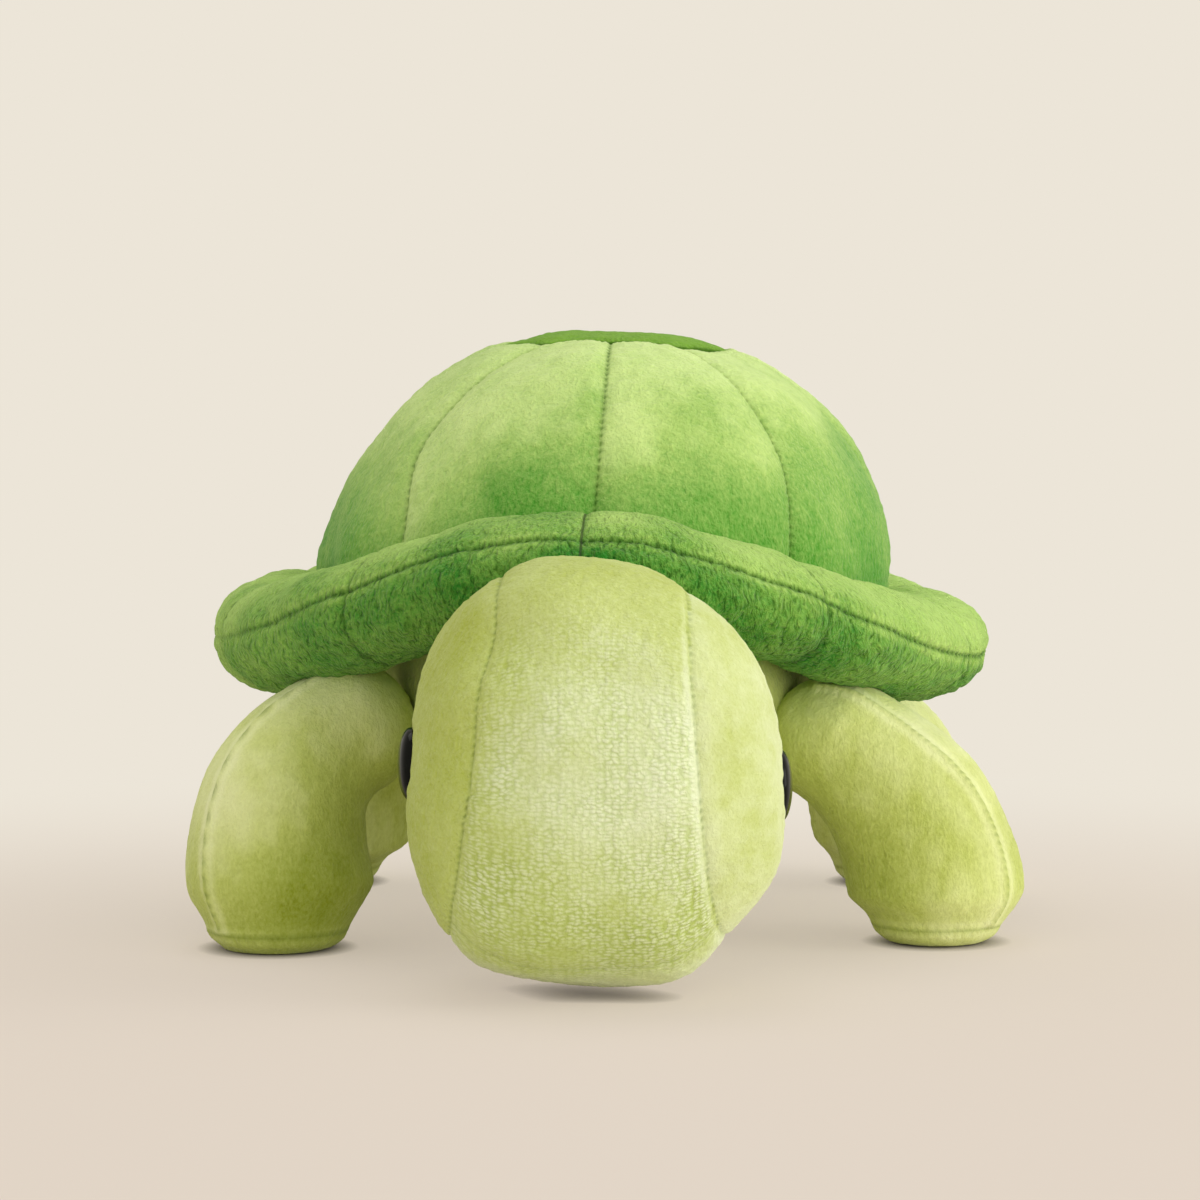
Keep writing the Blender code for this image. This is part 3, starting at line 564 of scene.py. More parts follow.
def velvet(
    name, shades, tufts, rows=0.0, combed=1.0, comb=0.0, seam_painted_shade="#7f9a60", bump=0.6, sheen=0.25
):
    """Polyester velvet, knitted, sheared short and brushed: it is lighter where the pile leans to the light
    and darker where it parts, by random tone and by a paleness that each piece lays out, part nap and part
    painted light and shade; it is pale at grazing angles, shows its knitted rows where it is thin, and takes
    painted shade along its seams. Its shades are its shaded pile, its lit pile, and its palest places, a
    painted highlight where the fibre ends take the light."""
    material = bpy.data.materials.new(name)
    material.use_nodes = True
    tree = material.node_tree
    shader = tree.nodes["Principled BSDF"]
    place = add_node(tree, "ShaderNodeTexCoord").outputs["Object"]
    run = add_node(tree, "ShaderNodeAttribute", {"attribute_name": "cloth"}).outputs["Vector"]
    # The cloth's third value is how pale the pile lies: nap, with painted light and shade, laid out on each
    # piece
    nap = add_node(tree, "ShaderNodeSeparateXYZ", links={0: run}).outputs["Z"]
    run = add_node(tree, "ShaderNodeMapping", {"Scale": (1, 1, 0)}, {"Vector": run}).outputs[0]
    seam = add_node(tree, "ShaderNodeAttribute", {"attribute_name": "seam"}).outputs["Fac"]
    pile, height = brushed_pile(tree, place, nap, shades, tufts, combed)
    if comb:
        pile, height = combed_crests(tree, run, nap, pile, height, comb)
    if rows:
        pile, height = knitted_rows(tree, run, pile, height, rows)
    # Painted shade along the seams, multiplied into the pile's colour
    seam_shaded = add_node(
        tree, "ShaderNodeMix", {"data_type": "RGBA", "blend_type": "MULTIPLY", 7: linear(seam_painted_shade)},
        {0: seam, 6: pile},
    ).outputs[2]
    relief = add_node(tree, "ShaderNodeBump", {"Strength": bump, "Distance": 0.0012}, {"Height": height})
    tree.links.new(seam_shaded, shader.inputs["Base Color"])
    tree.links.new(relief.outputs["Normal"], shader.inputs["Normal"])
    shader.inputs["Roughness"].default_value = 0.95
    shader.inputs["Specular IOR Level"].default_value = 0.12
    shader.inputs["Sheen Weight"].default_value = sheen
    shader.inputs["Sheen Roughness"].default_value = 0.42
    shader.inputs["Sheen Tint"].default_value = (0.96, 1.0, 0.74, 1)
    return material


def moulded_eye():
    """Acrylic, moulded and polished: black, with a hard clear gloss that takes small highlights."""
    material = bpy.data.materials.new("polished black acrylic")
    material.use_nodes = True
    tree = material.node_tree
    shader = tree.nodes["Principled BSDF"]
    place = add_node(tree, "ShaderNodeTexCoord").outputs["Object"]
    haze = add_node(
        tree, "ShaderNodeTexNoise", {"Scale": per_metre(3.846), "Detail": 4.0}, {"Vector": place}
    ).outputs["Fac"]
    tone = add_node(
        tree, "ShaderNodeMix", {"data_type": "RGBA", 6: linear("#070807"), 7: linear("#10130f")}, {0: haze}
    )
    rough = add_node(tree, "ShaderNodeMapRange", {"To Min": 0.05, "To Max": 0.13}, {"Value": haze})
    tree.links.new(tone.outputs[2], shader.inputs["Base Color"])
    tree.links.new(rough.outputs[0], shader.inputs["Roughness"])
    shader.inputs["IOR"].default_value = 1.2
    return material


def seen_ray(tree):
    """1 on rays that show a surface as itself, to the camera or in a gloss, 0 on rays that carry light."""
    rays = add_node(tree, "ShaderNodeLightPath").outputs
    mirrored = add_node(
        tree, "ShaderNodeMath", {"operation": "MAXIMUM"},
        {0: rays["Is Glossy Ray"], 1: rays["Is Transmission Ray"]},
    ).outputs[0]
    return add_node(
        tree, "ShaderNodeMath", {"operation": "MAXIMUM"}, {0: rays["Is Camera Ray"], 1: mirrored}
    ).outputs[0]


def studio_paper(name, low, lit, high, middle, near, far):
    """Matt seamless paper: the floor keeps a soft shadow, dark only where the toy stands close over it, and
    blends, from a near to a far distance, into a backdrop of even tone."""
    material = bpy.data.materials.new(name)
    material.use_nodes = True
    tree = material.node_tree
    shader = tree.nodes["Principled BSDF"]
    place = add_node(tree, "ShaderNodeTexCoord").outputs["Object"]
    away = add_node(
        tree, "ShaderNodeVectorMath", {"operation": "DISTANCE", 1: middle}, {0: place}
    ).outputs["Value"]
    rise = add_node(
        tree, "ShaderNodeMapRange", {"interpolation_type": "SMOOTHSTEP", "From Min": near, "From Max": far},
        {"Value": away},
    ).outputs[0]
    mottle = add_node(
        tree, "ShaderNodeTexNoise", {"Scale": per_metre(250), "Detail": 2.0}, {"Vector": place}
    ).outputs[0]
    fleck = add_node(
        tree, "ShaderNodeMapRange", {"To Min": 0.985, "To Max": 1.015}, {"Value": mottle}
    ).outputs[0]
    tone = add_node(
        tree, "ShaderNodeVectorMath", {"operation": "SCALE", 0: linear(low)[:3]}, {"Scale": fleck}
    ).outputs[0]
    tree.links.new(tone, shader.inputs["Base Color"])
    shader.inputs["Roughness"].default_value = 1.0
    shader.inputs["Specular IOR Level"].default_value = 0.0
    even = add_node(
        tree, "ShaderNodeMix", {"data_type": "RGBA", 6: linear(lit), 7: linear(high)}, {0: rise}
    ).outputs[2]
    open_sky = add_node(tree, "ShaderNodeAmbientOcclusion", {"Distance": 0.005, "samples": 4}).outputs["AO"]
    glow = add_node(tree, "ShaderNodeEmission", links={"Color": even, "Strength": open_sky}).outputs[0]
    strength = add_node(
        tree, "ShaderNodeMapRange", {"To Min": 0.66, "To Max": 1.0}, {"Value": rise}
    ).outputs[0]
    part = add_node(
        tree, "ShaderNodeMath", {"operation": "MULTIPLY"}, {0: strength, 1: seen_ray(tree)}
    ).outputs[0]
    mixed = add_node(tree, "ShaderNodeMixShader", links={0: part, 1: shader.outputs[0], 2: glow})
    tree.links.new(mixed.outputs[0], tree.nodes["Material Output"].inputs["Surface"])
    return material


# Shell

def waved(theta, side, front, rear):
    """A value at the sides plus cube-of-cosine rises towards the front and the rear."""
    return side + front * np.maximum(np.cos(theta), 0) ** 3 + rear * np.maximum(-np.cos(theta), 0) ** 3


def roll_points(shell, theta, turn):
    """Ellipse section carried round the oval brim."""
    across = shell.roll_half_width * np.cos(turn)
    x = (shell.brim_half_width - shell.roll_half_width + across) * np.sin(theta)
    y = -(shell.brim_half_length - shell.roll_half_width + across) * np.cos(theta) + SHELL_Y
    z = waved(theta, shell.roll_side_height, shell.roll_front_lift, shell.roll_rear_lift)
    return np.stack([x, y, z + shell.roll_half_height * np.sin(turn)], axis=-1)


def root_turn(shell, theta):
    """Turn at which the roll meets the dome, found by halving the range between two turns."""
    outer = np.full(theta.shape, math.radians(60))
    inner = np.full(theta.shape, math.radians(150))
    for _ in range(24):
        middle = (outer + inner) / 2
        at = roll_points(shell, theta, middle)
        y = (at[..., 1] - SHELL_Y) / shell.dome_half_length
        breadth = np.hypot(at[..., 0] / shell.dome_half_width, y)
        rise = np.maximum(at[..., 2] - shell.girth_height, 0) / shell.dome_height
        inside = breadth ** shell.breadth_fullness + rise ** shell.rise_fullness < 1
        inner = np.where(inside, middle, inner)
        outer = np.where(inside, outer, middle)
    return (outer + inner) / 2


def dome_points(shell, theta, part):
    """Profile of sine and cosine powers, flat on top, turned round an oval: part 0 is its top, 1 girth."""
    swing = np.clip(part, 0, 1) * math.pi / 2
    breadth = np.sin(swing) ** (2 / shell.breadth_fullness)
    x = shell.dome_half_width * breadth * np.sin(theta)
    y = -shell.dome_half_length * breadth * np.cos(theta) + SHELL_Y
    z = shell.girth_height + shell.dome_height * np.clip(np.cos(swing), 0, 1) ** (2 / shell.rise_fullness)
    z = z - np.maximum(part - 1, 0) * shell.dome_height
    return np.stack([x, y, z], axis=-1)


def patch_part(shell, theta):
    """Profile part of the patch's straight edges, with a corner on each gore seam."""
    sector = TAU / GORES
    straight = shell.patch_radius * math.cos(sector / 2) / np.cos(np.mod(theta, sector) - sector / 2)
    straight = straight * (1 - shell.patch_front * bell(off_angle(theta, 0), math.radians(55)))
    breadth = np.hypot(shell.dome_half_width * np.sin(theta), shell.dome_half_length * np.cos(theta))
    return np.arcsin((straight / breadth) ** (shell.breadth_fullness / 2)) * 2 / math.pi


def turned(points, turn):
    """Points turned about the upright line through the shell's centre, by one angle or one a column."""
    x, y = points[..., 0], points[..., 1] - SHELL_Y
    cos, sin = np.cos(turn), np.sin(turn)
    return np.stack([x * cos + y * sin, y * cos - x * sin + SHELL_Y, points[..., 2]], axis=-1)


def lopsided(shell, theta, points, bow=0.0):
    """Points of the even dome as this toy is sewn and filled: its seams turned, more so at the sides, then
    leaned, and its shoulders shifted along X by a parabola of their height."""
    turn = shell.dome_turn + shell.dome_skew * np.sin(theta)
    points = leaned(shell, turned(points, turn - bow), shell.dome_shear)
    rise = np.clip((points[..., 2] - shell.girth_height) / shell.dome_height, 0, 1)
    return points + np.stack([shell.dome_bow * 4 * rise * (1 - rise), 0 * rise, 0 * rise], axis=-1)


def gore_parts(shell, theta, top):
    """Profile parts of the gores' rows, from inside the roll up to the patch, then on under it, and how far
    up its gore each of the first rows is."""
    root = roll_points(shell, theta, root_turn(shell, theta))[..., 2] - shell.gore_tuck
    high = np.clip((root - shell.girth_height) / shell.dome_height, 0, 1)
    above = np.arccos(high ** (shell.rise_fullness / 2)) * 2 / math.pi
    low = np.where(root > shell.girth_height, above, 1 + (shell.girth_height - root) / shell.dome_height)
    step = np.append(crowded(128, 0.25), 1)[:, None]
    under = top * (1 - np.linspace(0.03, 1, 12)[:, None])
    return np.concatenate([low + (top - low) * step, under]), step


# Height up to which each gore's pile is brushed dark and given painted shade, with painted light above it,
# its change from one seam to the next, how softly it ends, the size of the waves that bend that end, and half
# the width of the front gore's pale band, in metres
GORE_BRUSHED_AND_SHADED = (0.131, 0.134, 0.131, 0.118, 0.110, 0.114, 0.118, 0.122)
GORE_SLOPES = (0.002, 0.010, 0.000, 0.008, -0.008, 0.004, 0.000, 0.034)
GORE_SOFTNESS, GORE_WAVES, GORE_BAND = 0.008, 0.045, 0.011

# Height from which the gore seams' dark lines of painted shade fade, and how much higher they would be gone,
# in metres
LINE_FADE, LINE_FADE_REACH = 0.1225, 0.050

# How far from its rim the patch is still rising, and how far its stuffing is even, in metres
PATCH_RISE, PATCH_EVEN = 0.008, 0.004


def gore_nap_and_painted_light(shell, theta, points):
    """How pale the gores' pile lies, part brushed nap and part painted light: a soft step up to painted light
    over the height up to which each is brushed, bent by waves, less pale on the toy's right, painted shade on
    the side away from the lamps, with a pale band across the gore at the front."""
    gore = np.minimum((theta / TAU * GORES).astype(int), GORES - 1)
    across = np.mod(theta / TAU * GORES, 1) - 0.5
    brushed = np.array(GORE_BRUSHED_AND_SHADED)[gore] + np.array(GORE_SLOPES)[gore] * across
    over = (points[..., 2] - brushed) / GORE_SOFTNESS - 0.6 * waves(points, GORE_WAVES, 8)
    pale = 0.09 + (0.86 - 0.20 * np.maximum(-np.sin(theta), 0)) * step_up(over)
    return pale + 0.10 * (gore == 0) * bell(points[..., 2] - shell.bow_height, GORE_BAND)


def sew_gores(shell, seams, cloth):
    """Closed table of the eight gores: the dome's profile, each gore puffed between its seams by a fourth
    power, with its seams, lumps and pile as relief, sunk under the patch."""
    theta = crowded_circle(GORES, 46, 0.5)
    part, step = gore_parts(shell, theta, patch_part(shell, theta))
    count = len(step)
    plain = dome_points(shell, theta, part)
    radius = np.linalg.norm(plain[..., :2] - [0, SHELL_Y], axis=-1)
    aside = off_seam(theta, TAU / GORES) * np.maximum(radius, shell.patch_radius / 2)
    walk = np.cumsum(np.linalg.norm(np.diff(plain, axis=0, prepend=plain[:1]), axis=-1), axis=0)
    to_patch = np.abs(walk - walk[count - 1])
    along_patch = theta * shell.patch_radius + 0 * walk
    relief = seam_relief(aside, walk, seams) * 0.85 + seam_relief(to_patch, along_patch, seams) * 0.8
    relief[:count] += shell.gore_puff * pillow(np.mod(theta / TAU * GORES, 1)) * pillow(0.15 + 0.85 * step)
    relief += unevenness(plain, seams, "dome")
    relief[count:] = -shell.patch_bed
    normal = outward(plain)
    normal[-1] = (0, 0, 1)
    points = plain + normal * relief[..., None]

    # The dark line of a seam, painted shade in its crease, fades up the dome, but not in the middle of its
    # front
    fading = np.clip(1 - (plain[..., 2] - LINE_FADE) / LINE_FADE_REACH, 0.4, 1)
    faded = np.where(np.cos(theta) > 0.92, 1.0, fading)
    seam = bell(aside, seams.broad_line) * stitches(walk, seams, 0.35) * faded
    seam = np.maximum(seam, bell(to_patch, seams.broad_line) * 0.6)

    # Two more rows close the dome below, one round its rim and one at the centre
    floor_row = points[:1] * [1, 1, 0] + [0, 0, shell.roll_side_height]
    centre_row = np.broadcast_to(floor_row.mean(axis=1, keepdims=True), floor_row.shape)
    points = np.concatenate([centre_row, floor_row, points])
    seam = np.concatenate([seam[:2] * 0, seam])
    walk = np.concatenate([walk[:2], walk])
    aside = np.concatenate([aside[:2], aside])

    most = shell.seam_bow - shell.bow_skew * np.sign(np.sin(theta))
    bow = most * np.sin(2 * theta) * (np.cos(theta) > 0)
    points = lopsided(shell, theta, points, bow * bell(points[..., 2] - shell.bow_height, shell.bow_reach))
    mesh = table_mesh("dome", points, seam, (aside, walk, gore_nap_and_painted_light(shell, theta, points)))
    shades = cloth.dome_dark, cloth.dome_light, cloth.dome_highlight
    material = velvet("light green velvet", shades, 0.20, combed=0.6)
    nodes = [f"shell_gore_{index + 1}" for index in range(GORES)] + ["shell_filling"]
    add_piece("dome", mesh, material, "torso", nodes)


def sew_patch(shell, seams, cloth):
    """Closed table of the patch on the dome's top: the dome's profile inside the patch's straight edges,
    puffed off its rim, over a flat underside."""
    theta = crowded_circle(GORES, 46, 0.5)
    plain = dome_points(shell, theta, patch_part(shell, theta) * (1 - np.linspace(0, 1, 46)[:, None]))
    rim = np.linalg.norm(plain - plain[:1], axis=-1)
    relief = seam_relief(rim, theta * shell.patch_radius + 0 * rim, seams) * 0.8
    relief += shell.gore_puff * 0.5 * (1 - bell(rim, PATCH_RISE))
    relief += unevenness(plain, seams, "patch", lumps=1 - bell(rim, PATCH_EVEN))
    normal = outward(plain)
    normal[-3:] = (0, 0, 1)
    over = plain + normal * relief[..., None]
    over[-1] = over[-1].mean(axis=0)
    below = over[:1] - normal[:1] * shell.patch_edge
    pole = np.broadcast_to(below.mean(axis=1, keepdims=True), below.shape)
    points = lopsided(shell, theta, np.concatenate([pole, below, over]))
    # Painted shade over the patch's hidden underside and along its rim seam
    seam = np.concatenate([np.ones((2, theta.size)), bell(rim, seams.broad_line) * 0.8])
    mesh = table_mesh("top_patch", points, seam, (points[..., 0], points[..., 1], 0.5))
    shades = cloth.patch_dark, cloth.patch_light, cloth.patch_light
    material = velvet("patch velvet", shades, 0.24, sheen=0.08)
    add_piece("top_patch", mesh, material, "torso", ["shell_top_patch"])


class TURTLE_OT_dome(bpy.types.Operator):
    """Sew the eight gores of the dome and the patch on its top"""

    bl_idname = "turtle.dome"
    bl_label = "Dome"

    def execute(self, context):
        shell, seams, cloth = settings("shell"), settings("seams"), settings("cloth")
        sew_gores(shell, seams, cloth)
        sew_patch(shell, seams, cloth)
        return {"FINISHED"}


# Where round the roll, on the toy's right, its edge seam lies flat in the pile, and how far, in radians
FLAT_PLACE, FLAT_REACH = -1.45, 0.55

# Distance from the edge seam of its pale ridge of pile, a painted highlight, and the ridge's half width, in
# metres
BRIM_HIGHLIGHT, BRIM_HIGHLIGHT_WIDTH = 0.0017, 0.0010

# How far over the edge seam the roll turns pale with painted light on its top, and how softly, in radians,
# and its waves' size in metres
BRIM_LIT_TURN, BRIM_SOFTNESS, BRIM_WAVES = math.radians(6), math.radians(9), 0.030


def roll_turns(shell, edge, root):
    """Turns of the roll's rows: up the lower panels to the edge seam, up the upper ones to the dome, then
    down the hidden inner side, and the number of rows below the edge seam."""
    low = edge - shell.lower_reach
    lower = low + (edge - low) * crowded(60, 0.2)[:, None]
    upper = edge + (root - edge) * np.append(crowded(44, 0.3), 1)[:, None]
    hidden = root + (shell.inner_turn - root) * np.linspace(0.1, 1, 9)[:, None]
    inner = shell.inner_turn + (low + TAU - shell.inner_turn) * np.linspace(0, 1, 6)[1:-1, None]
    return np.concatenate([lower, upper, hidden, inner]), len(lower)


def brim_nap_and_painted_light(shell, theta, plain, above):
    """How pale the roll's pile lies, part nap and part painted light: a soft step to painted light on the
    roll's top just above the edge seam, stronger on the toy's left, where the lamps are, bent by waves,
    higher at the sides and most on the toy's right."""
    pale = step_up(above - BRIM_LIT_TURN, BRIM_SOFTNESS) * (0.66 + 0.26 * np.sin(theta - 0.3))
    pale = pale + 0.14 + 0.14 * np.sin(theta) ** 2 + 0.24 * np.maximum(-np.sin(theta), 0) ** 2
    return pale + 0.10 * waves(plain, BRIM_WAVES, 14)


class TURTLE_OT_brim(bpy.types.Operator):
    """Sew the stuffed roll round the dome from its upper and lower panels"""

    bl_idname = "turtle.brim"
    bl_label = "Brim"

    def execute(self, context):
        shell, seams, cloth = settings("shell"), settings("seams"), settings("cloth")
        theta = crowded_circle(BRIM_PANELS, 70, 0.35)
        edge = waved(theta, shell.seam_side, shell.seam_front, shell.seam_rear)
        root = root_turn(shell, theta)
        turn, edge_row = roll_turns(shell, edge, root)
        plain = roll_points(shell, theta, turn)
        plain[..., 2] += shell.roll_sag * np.sin(theta) * np.maximum(-np.sin(turn), 0)
        radius = np.linalg.norm(plain[..., :2] - [0, SHELL_Y], axis=-1)
        aside = off_seam(theta, TAU / BRIM_PANELS) * radius
        walk = np.cumsum(np.linalg.norm(np.roll(plain, -1, axis=0) - plain, axis=-1), axis=0)
        to_edge = walk - walk[edge_row]
        around = theta * (shell.brim_half_width + shell.brim_half_length) / 2 + 0 * walk
        rise_upper = np.clip((turn - edge) / (root - edge), 0, 1)
        rise_lower = np.clip((edge - turn) / shell.lower_reach, 0, 1)
        rise = np.where(turn > edge, rise_upper, rise_lower)
        flat = bell(off_angle(theta, FLAT_PLACE), FLAT_REACH)
        relief = shell.roll_puff * pillow(np.mod(theta / TAU * BRIM_PANELS, 1)) * pillow(0.06 + 0.88 * rise)
        relief += seam_relief(aside, walk, seams) * 0.6
        relief += seam_relief(to_edge, around, seams) * (1 - 0.6 * flat)
        relief += unevenness(plain, seams, "brim", nap=1.0 + (turn < edge))
        points = plain + outward(plain, round_rows=True) * relief[..., None]
        points = leaned(shell, turned(points, shell.brim_turn))
        # Painted shade along the panel seams and the edge seam, faint where that lies flat
        stitch = stitches(around, seams, 0.35) * (1 - 0.8 * flat)
        seam = np.maximum(bell(aside, seams.fine_line) * 0.6, bell(to_edge, seams.broad_line) * stitch)
        # Painted light on the roll, then a painted highlight on the ridge of pile beside the edge seam
        pale = brim_nap_and_painted_light(shell, theta, plain, turn - edge)
        pale = pale + 0.30 * stitch * bell(np.abs(to_edge) - BRIM_HIGHLIGHT, BRIM_HIGHLIGHT_WIDTH)
        mesh = table_mesh("brim", points, seam, (around, walk, pale), round_rows=True)
        shades = cloth.brim_dark, cloth.brim_light, cloth.brim_highlight
        material = velvet(
            "deep green velvet", shades, 0.35, comb=0.95, seam_painted_shade="#58803c", bump=1.0, sheen=0.15
        )
        nodes = [f"brim_{side}_{index + 1}" for side in ("upper", "lower") for index in range(BRIM_PANELS)]
        add_piece("brim", mesh, material, "torso", nodes + ["brim_filling"])
        return {"FINISHED"}


# Head

# Distance from the strip's left seam of its pale ridge of pile, a painted highlight, and the ridge's half
# width, in metres
HEAD_HIGHLIGHT, HEAD_HIGHLIGHT_WIDTH = 0.0016, 0.0010

# Turns up and down from the head's front, and how far they reach, in radians: the pale face, a painted
# highlight, the worn pile, the jaw that is drawn in, and the two ends of the pale chin, painted light in its
# shade
FACE_HIGHLIGHT_TURN, FACE_HIGHLIGHT_REACH = 0.10, 0.72
WORN_TURN, WORN_REACH = -0.30, 0.88
JAW_TURN, JAW_TURN_REACH = -1.35, 0.55
CHIN_LIGHT_TURNS, CHIN_LIGHT_SOFTNESS = (-2.5, -1.05), (0.15, 0.12)

# Middle of the pale face, a painted highlight, towards the toy's left and its reach, the reach of the cheeks'
# paleness beside the seams, also a painted highlight, and the size of the waves in it, in metres
FACE_HIGHLIGHT_ASIDE, FACE_HIGHLIGHT_HALF_WIDTH, CHEEK_HIGHLIGHT_EDGE, HEAD_WAVES = 0.008, 0.034, 0.006, 0.030

# Distance aside over which the knit grows clearer, its patches' size, and its fading at a seam, in metres
WORN_ASIDE, WORN_PATCHES, WORN_EDGE = 0.010, 0.016, 0.0025

# Cloth round an eye, in metres: how much deeper than the eye's rim it is sunk and how softly, the height and
# width of the low rim round it, and the depth and width of the dip about it
SOCKET_SINK, SOCKET_SOFTNESS = 0.0010, 0.00035
SOCKET_RIM, SOCKET_RIM_WIDTH = 0.00045, 0.0022
SOCKET_DIP, SOCKET_DIP_WIDTH = 0.0005, 0.008


def strip_edges(head, turn):
    """Distances of the strip's two seams: a middle width less a sine of the turn, wider at the chin."""
    middle = head.strip_front - head.strip_change * np.sin(turn)
    shift = head.strip_shift * np.cos(turn) ** 2
    flare = head.strip_flare * np.maximum(-np.sin(turn), 0)
    return -(middle + shift + flare), middle - shift + flare * 0.3


def seam_sides(head, turn):
    """The strip's two seams as sides of the head, from the toy's right to its left."""
    fullness = head.fullness - head.jowl * np.sin(turn)
    return (np.arcsin(power(edge / head.half_width, fullness / 2)) for edge in strip_edges(head, turn))


def head_points(head, side, turn):
    """Superellipsoid with its poles at the cheeks and a squarer chin: side runs cheek to cheek."""
    fullness = head.fullness - head.jowl * np.sin(turn)
    girth = power(np.cos(side), 2 / fullness)
    x = head.half_width * power(np.sin(side), 2 / fullness)
    side_fullness = head.side_fullness + head.jaw * np.maximum(-np.sin(turn), 0)
    y = -head.half_depth * girth * power(np.cos(turn), 2 / side_fullness)
    height = np.where(turn > 0, head.crown_height, head.chin_depth)
    z = height * girth * power(np.sin(turn), 2 / side_fullness)
    lean = np.where(z > 0, head.crown_lean / head.crown_height ** 2, head.chin_lean / head.chin_depth ** 2)
    return np.stack([x - lean * z ** 2, y, z], axis=-1)


def place_head(head, points):
    """Points moved to the head's centre and kept just above the floor."""
    z = np.maximum(points[..., 2] + head.centre_height, head.chin_clearance)
    return np.stack([points[..., 0] + head.aside, points[..., 1] + SHELL_Y - head.reach, z], axis=-1)


def eye_socket(head, plain):
    """Relief round the eyes: a flat sunk by a soft step under each, a low rim round it, and a shallow dip."""
    drop = head.eye_drop * np.sign(plain[..., 0])
    far = np.hypot(plain[..., 1], plain[..., 2] + drop)
    sunk = (head.eye_sink + SOCKET_SINK) * step_up(head.eye_radius * 0.96 - far, SOCKET_SOFTNESS)
    rim = SOCKET_RIM * bell(far - head.eye_radius * 1.12, SOCKET_RIM_WIDTH)
    return rim - sunk - SOCKET_DIP * bell(far - head.eye_radius, SOCKET_DIP_WIDTH)


def head_tone_and_painted_light(head, plain, turn, aside):
    """How pale the head's pile lies, painted light with waves of tone: in the strip a bell over the face, a
    painted highlight, and a soft step under the chin, painted light in its shade; on the cheeks more towards
    the toy's left, where the lamps are, and beside the seams, a painted highlight; and a pale ridge of
    painted highlight beside the strip's seam on the toy's left."""
    face = bell(turn - FACE_HIGHLIGHT_TURN, FACE_HIGHLIGHT_REACH) * bell(plain[..., 0] - FACE_HIGHLIGHT_ASIDE, FACE_HIGHLIGHT_HALF_WIDTH)
    chin = step_up(turn - CHIN_LIGHT_TURNS[0], CHIN_LIGHT_SOFTNESS[0]) * step_up(CHIN_LIGHT_TURNS[1] - turn, CHIN_LIGHT_SOFTNESS[1])
    strip = np.clip(0.18 + 0.77 * face + 0.80 * chin + 0.05 * waves(plain, HEAD_WAVES, 25), 0, 1.2)
    cheek = 0.30 + 0.42 * np.clip(plain[..., 0] / head.half_width, -0.6, 1) + 0.15 * chin
    cheek = cheek + 0.20 * bell(aside, CHEEK_HIGHLIGHT_EDGE) + 0.04 * waves(plain, HEAD_WAVES, 26)
    ridge = 0.30 * bell(aside - HEAD_HIGHLIGHT, HEAD_HIGHLIGHT_WIDTH) * (plain[..., 0] > 0)
    return np.where(aside > 0, strip, cheek) + ridge


def head_wear(plain, turn, aside):
    """How much the knit shows in the strip: a bell over the face, patchy, a little more on the toy's left."""
    worn = np.clip(1.15 * bell(turn - WORN_TURN, WORN_REACH), 0, 1)
    worn = worn * (0.84 + 0.16 * np.tanh(plain[..., 0] / WORN_ASIDE))
    worn = np.clip(worn * (1 + 0.30 * waves(plain, WORN_PATCHES, 27)), 0, 1)
    return worn * np.clip(aside / WORN_EDGE, 0, 1)


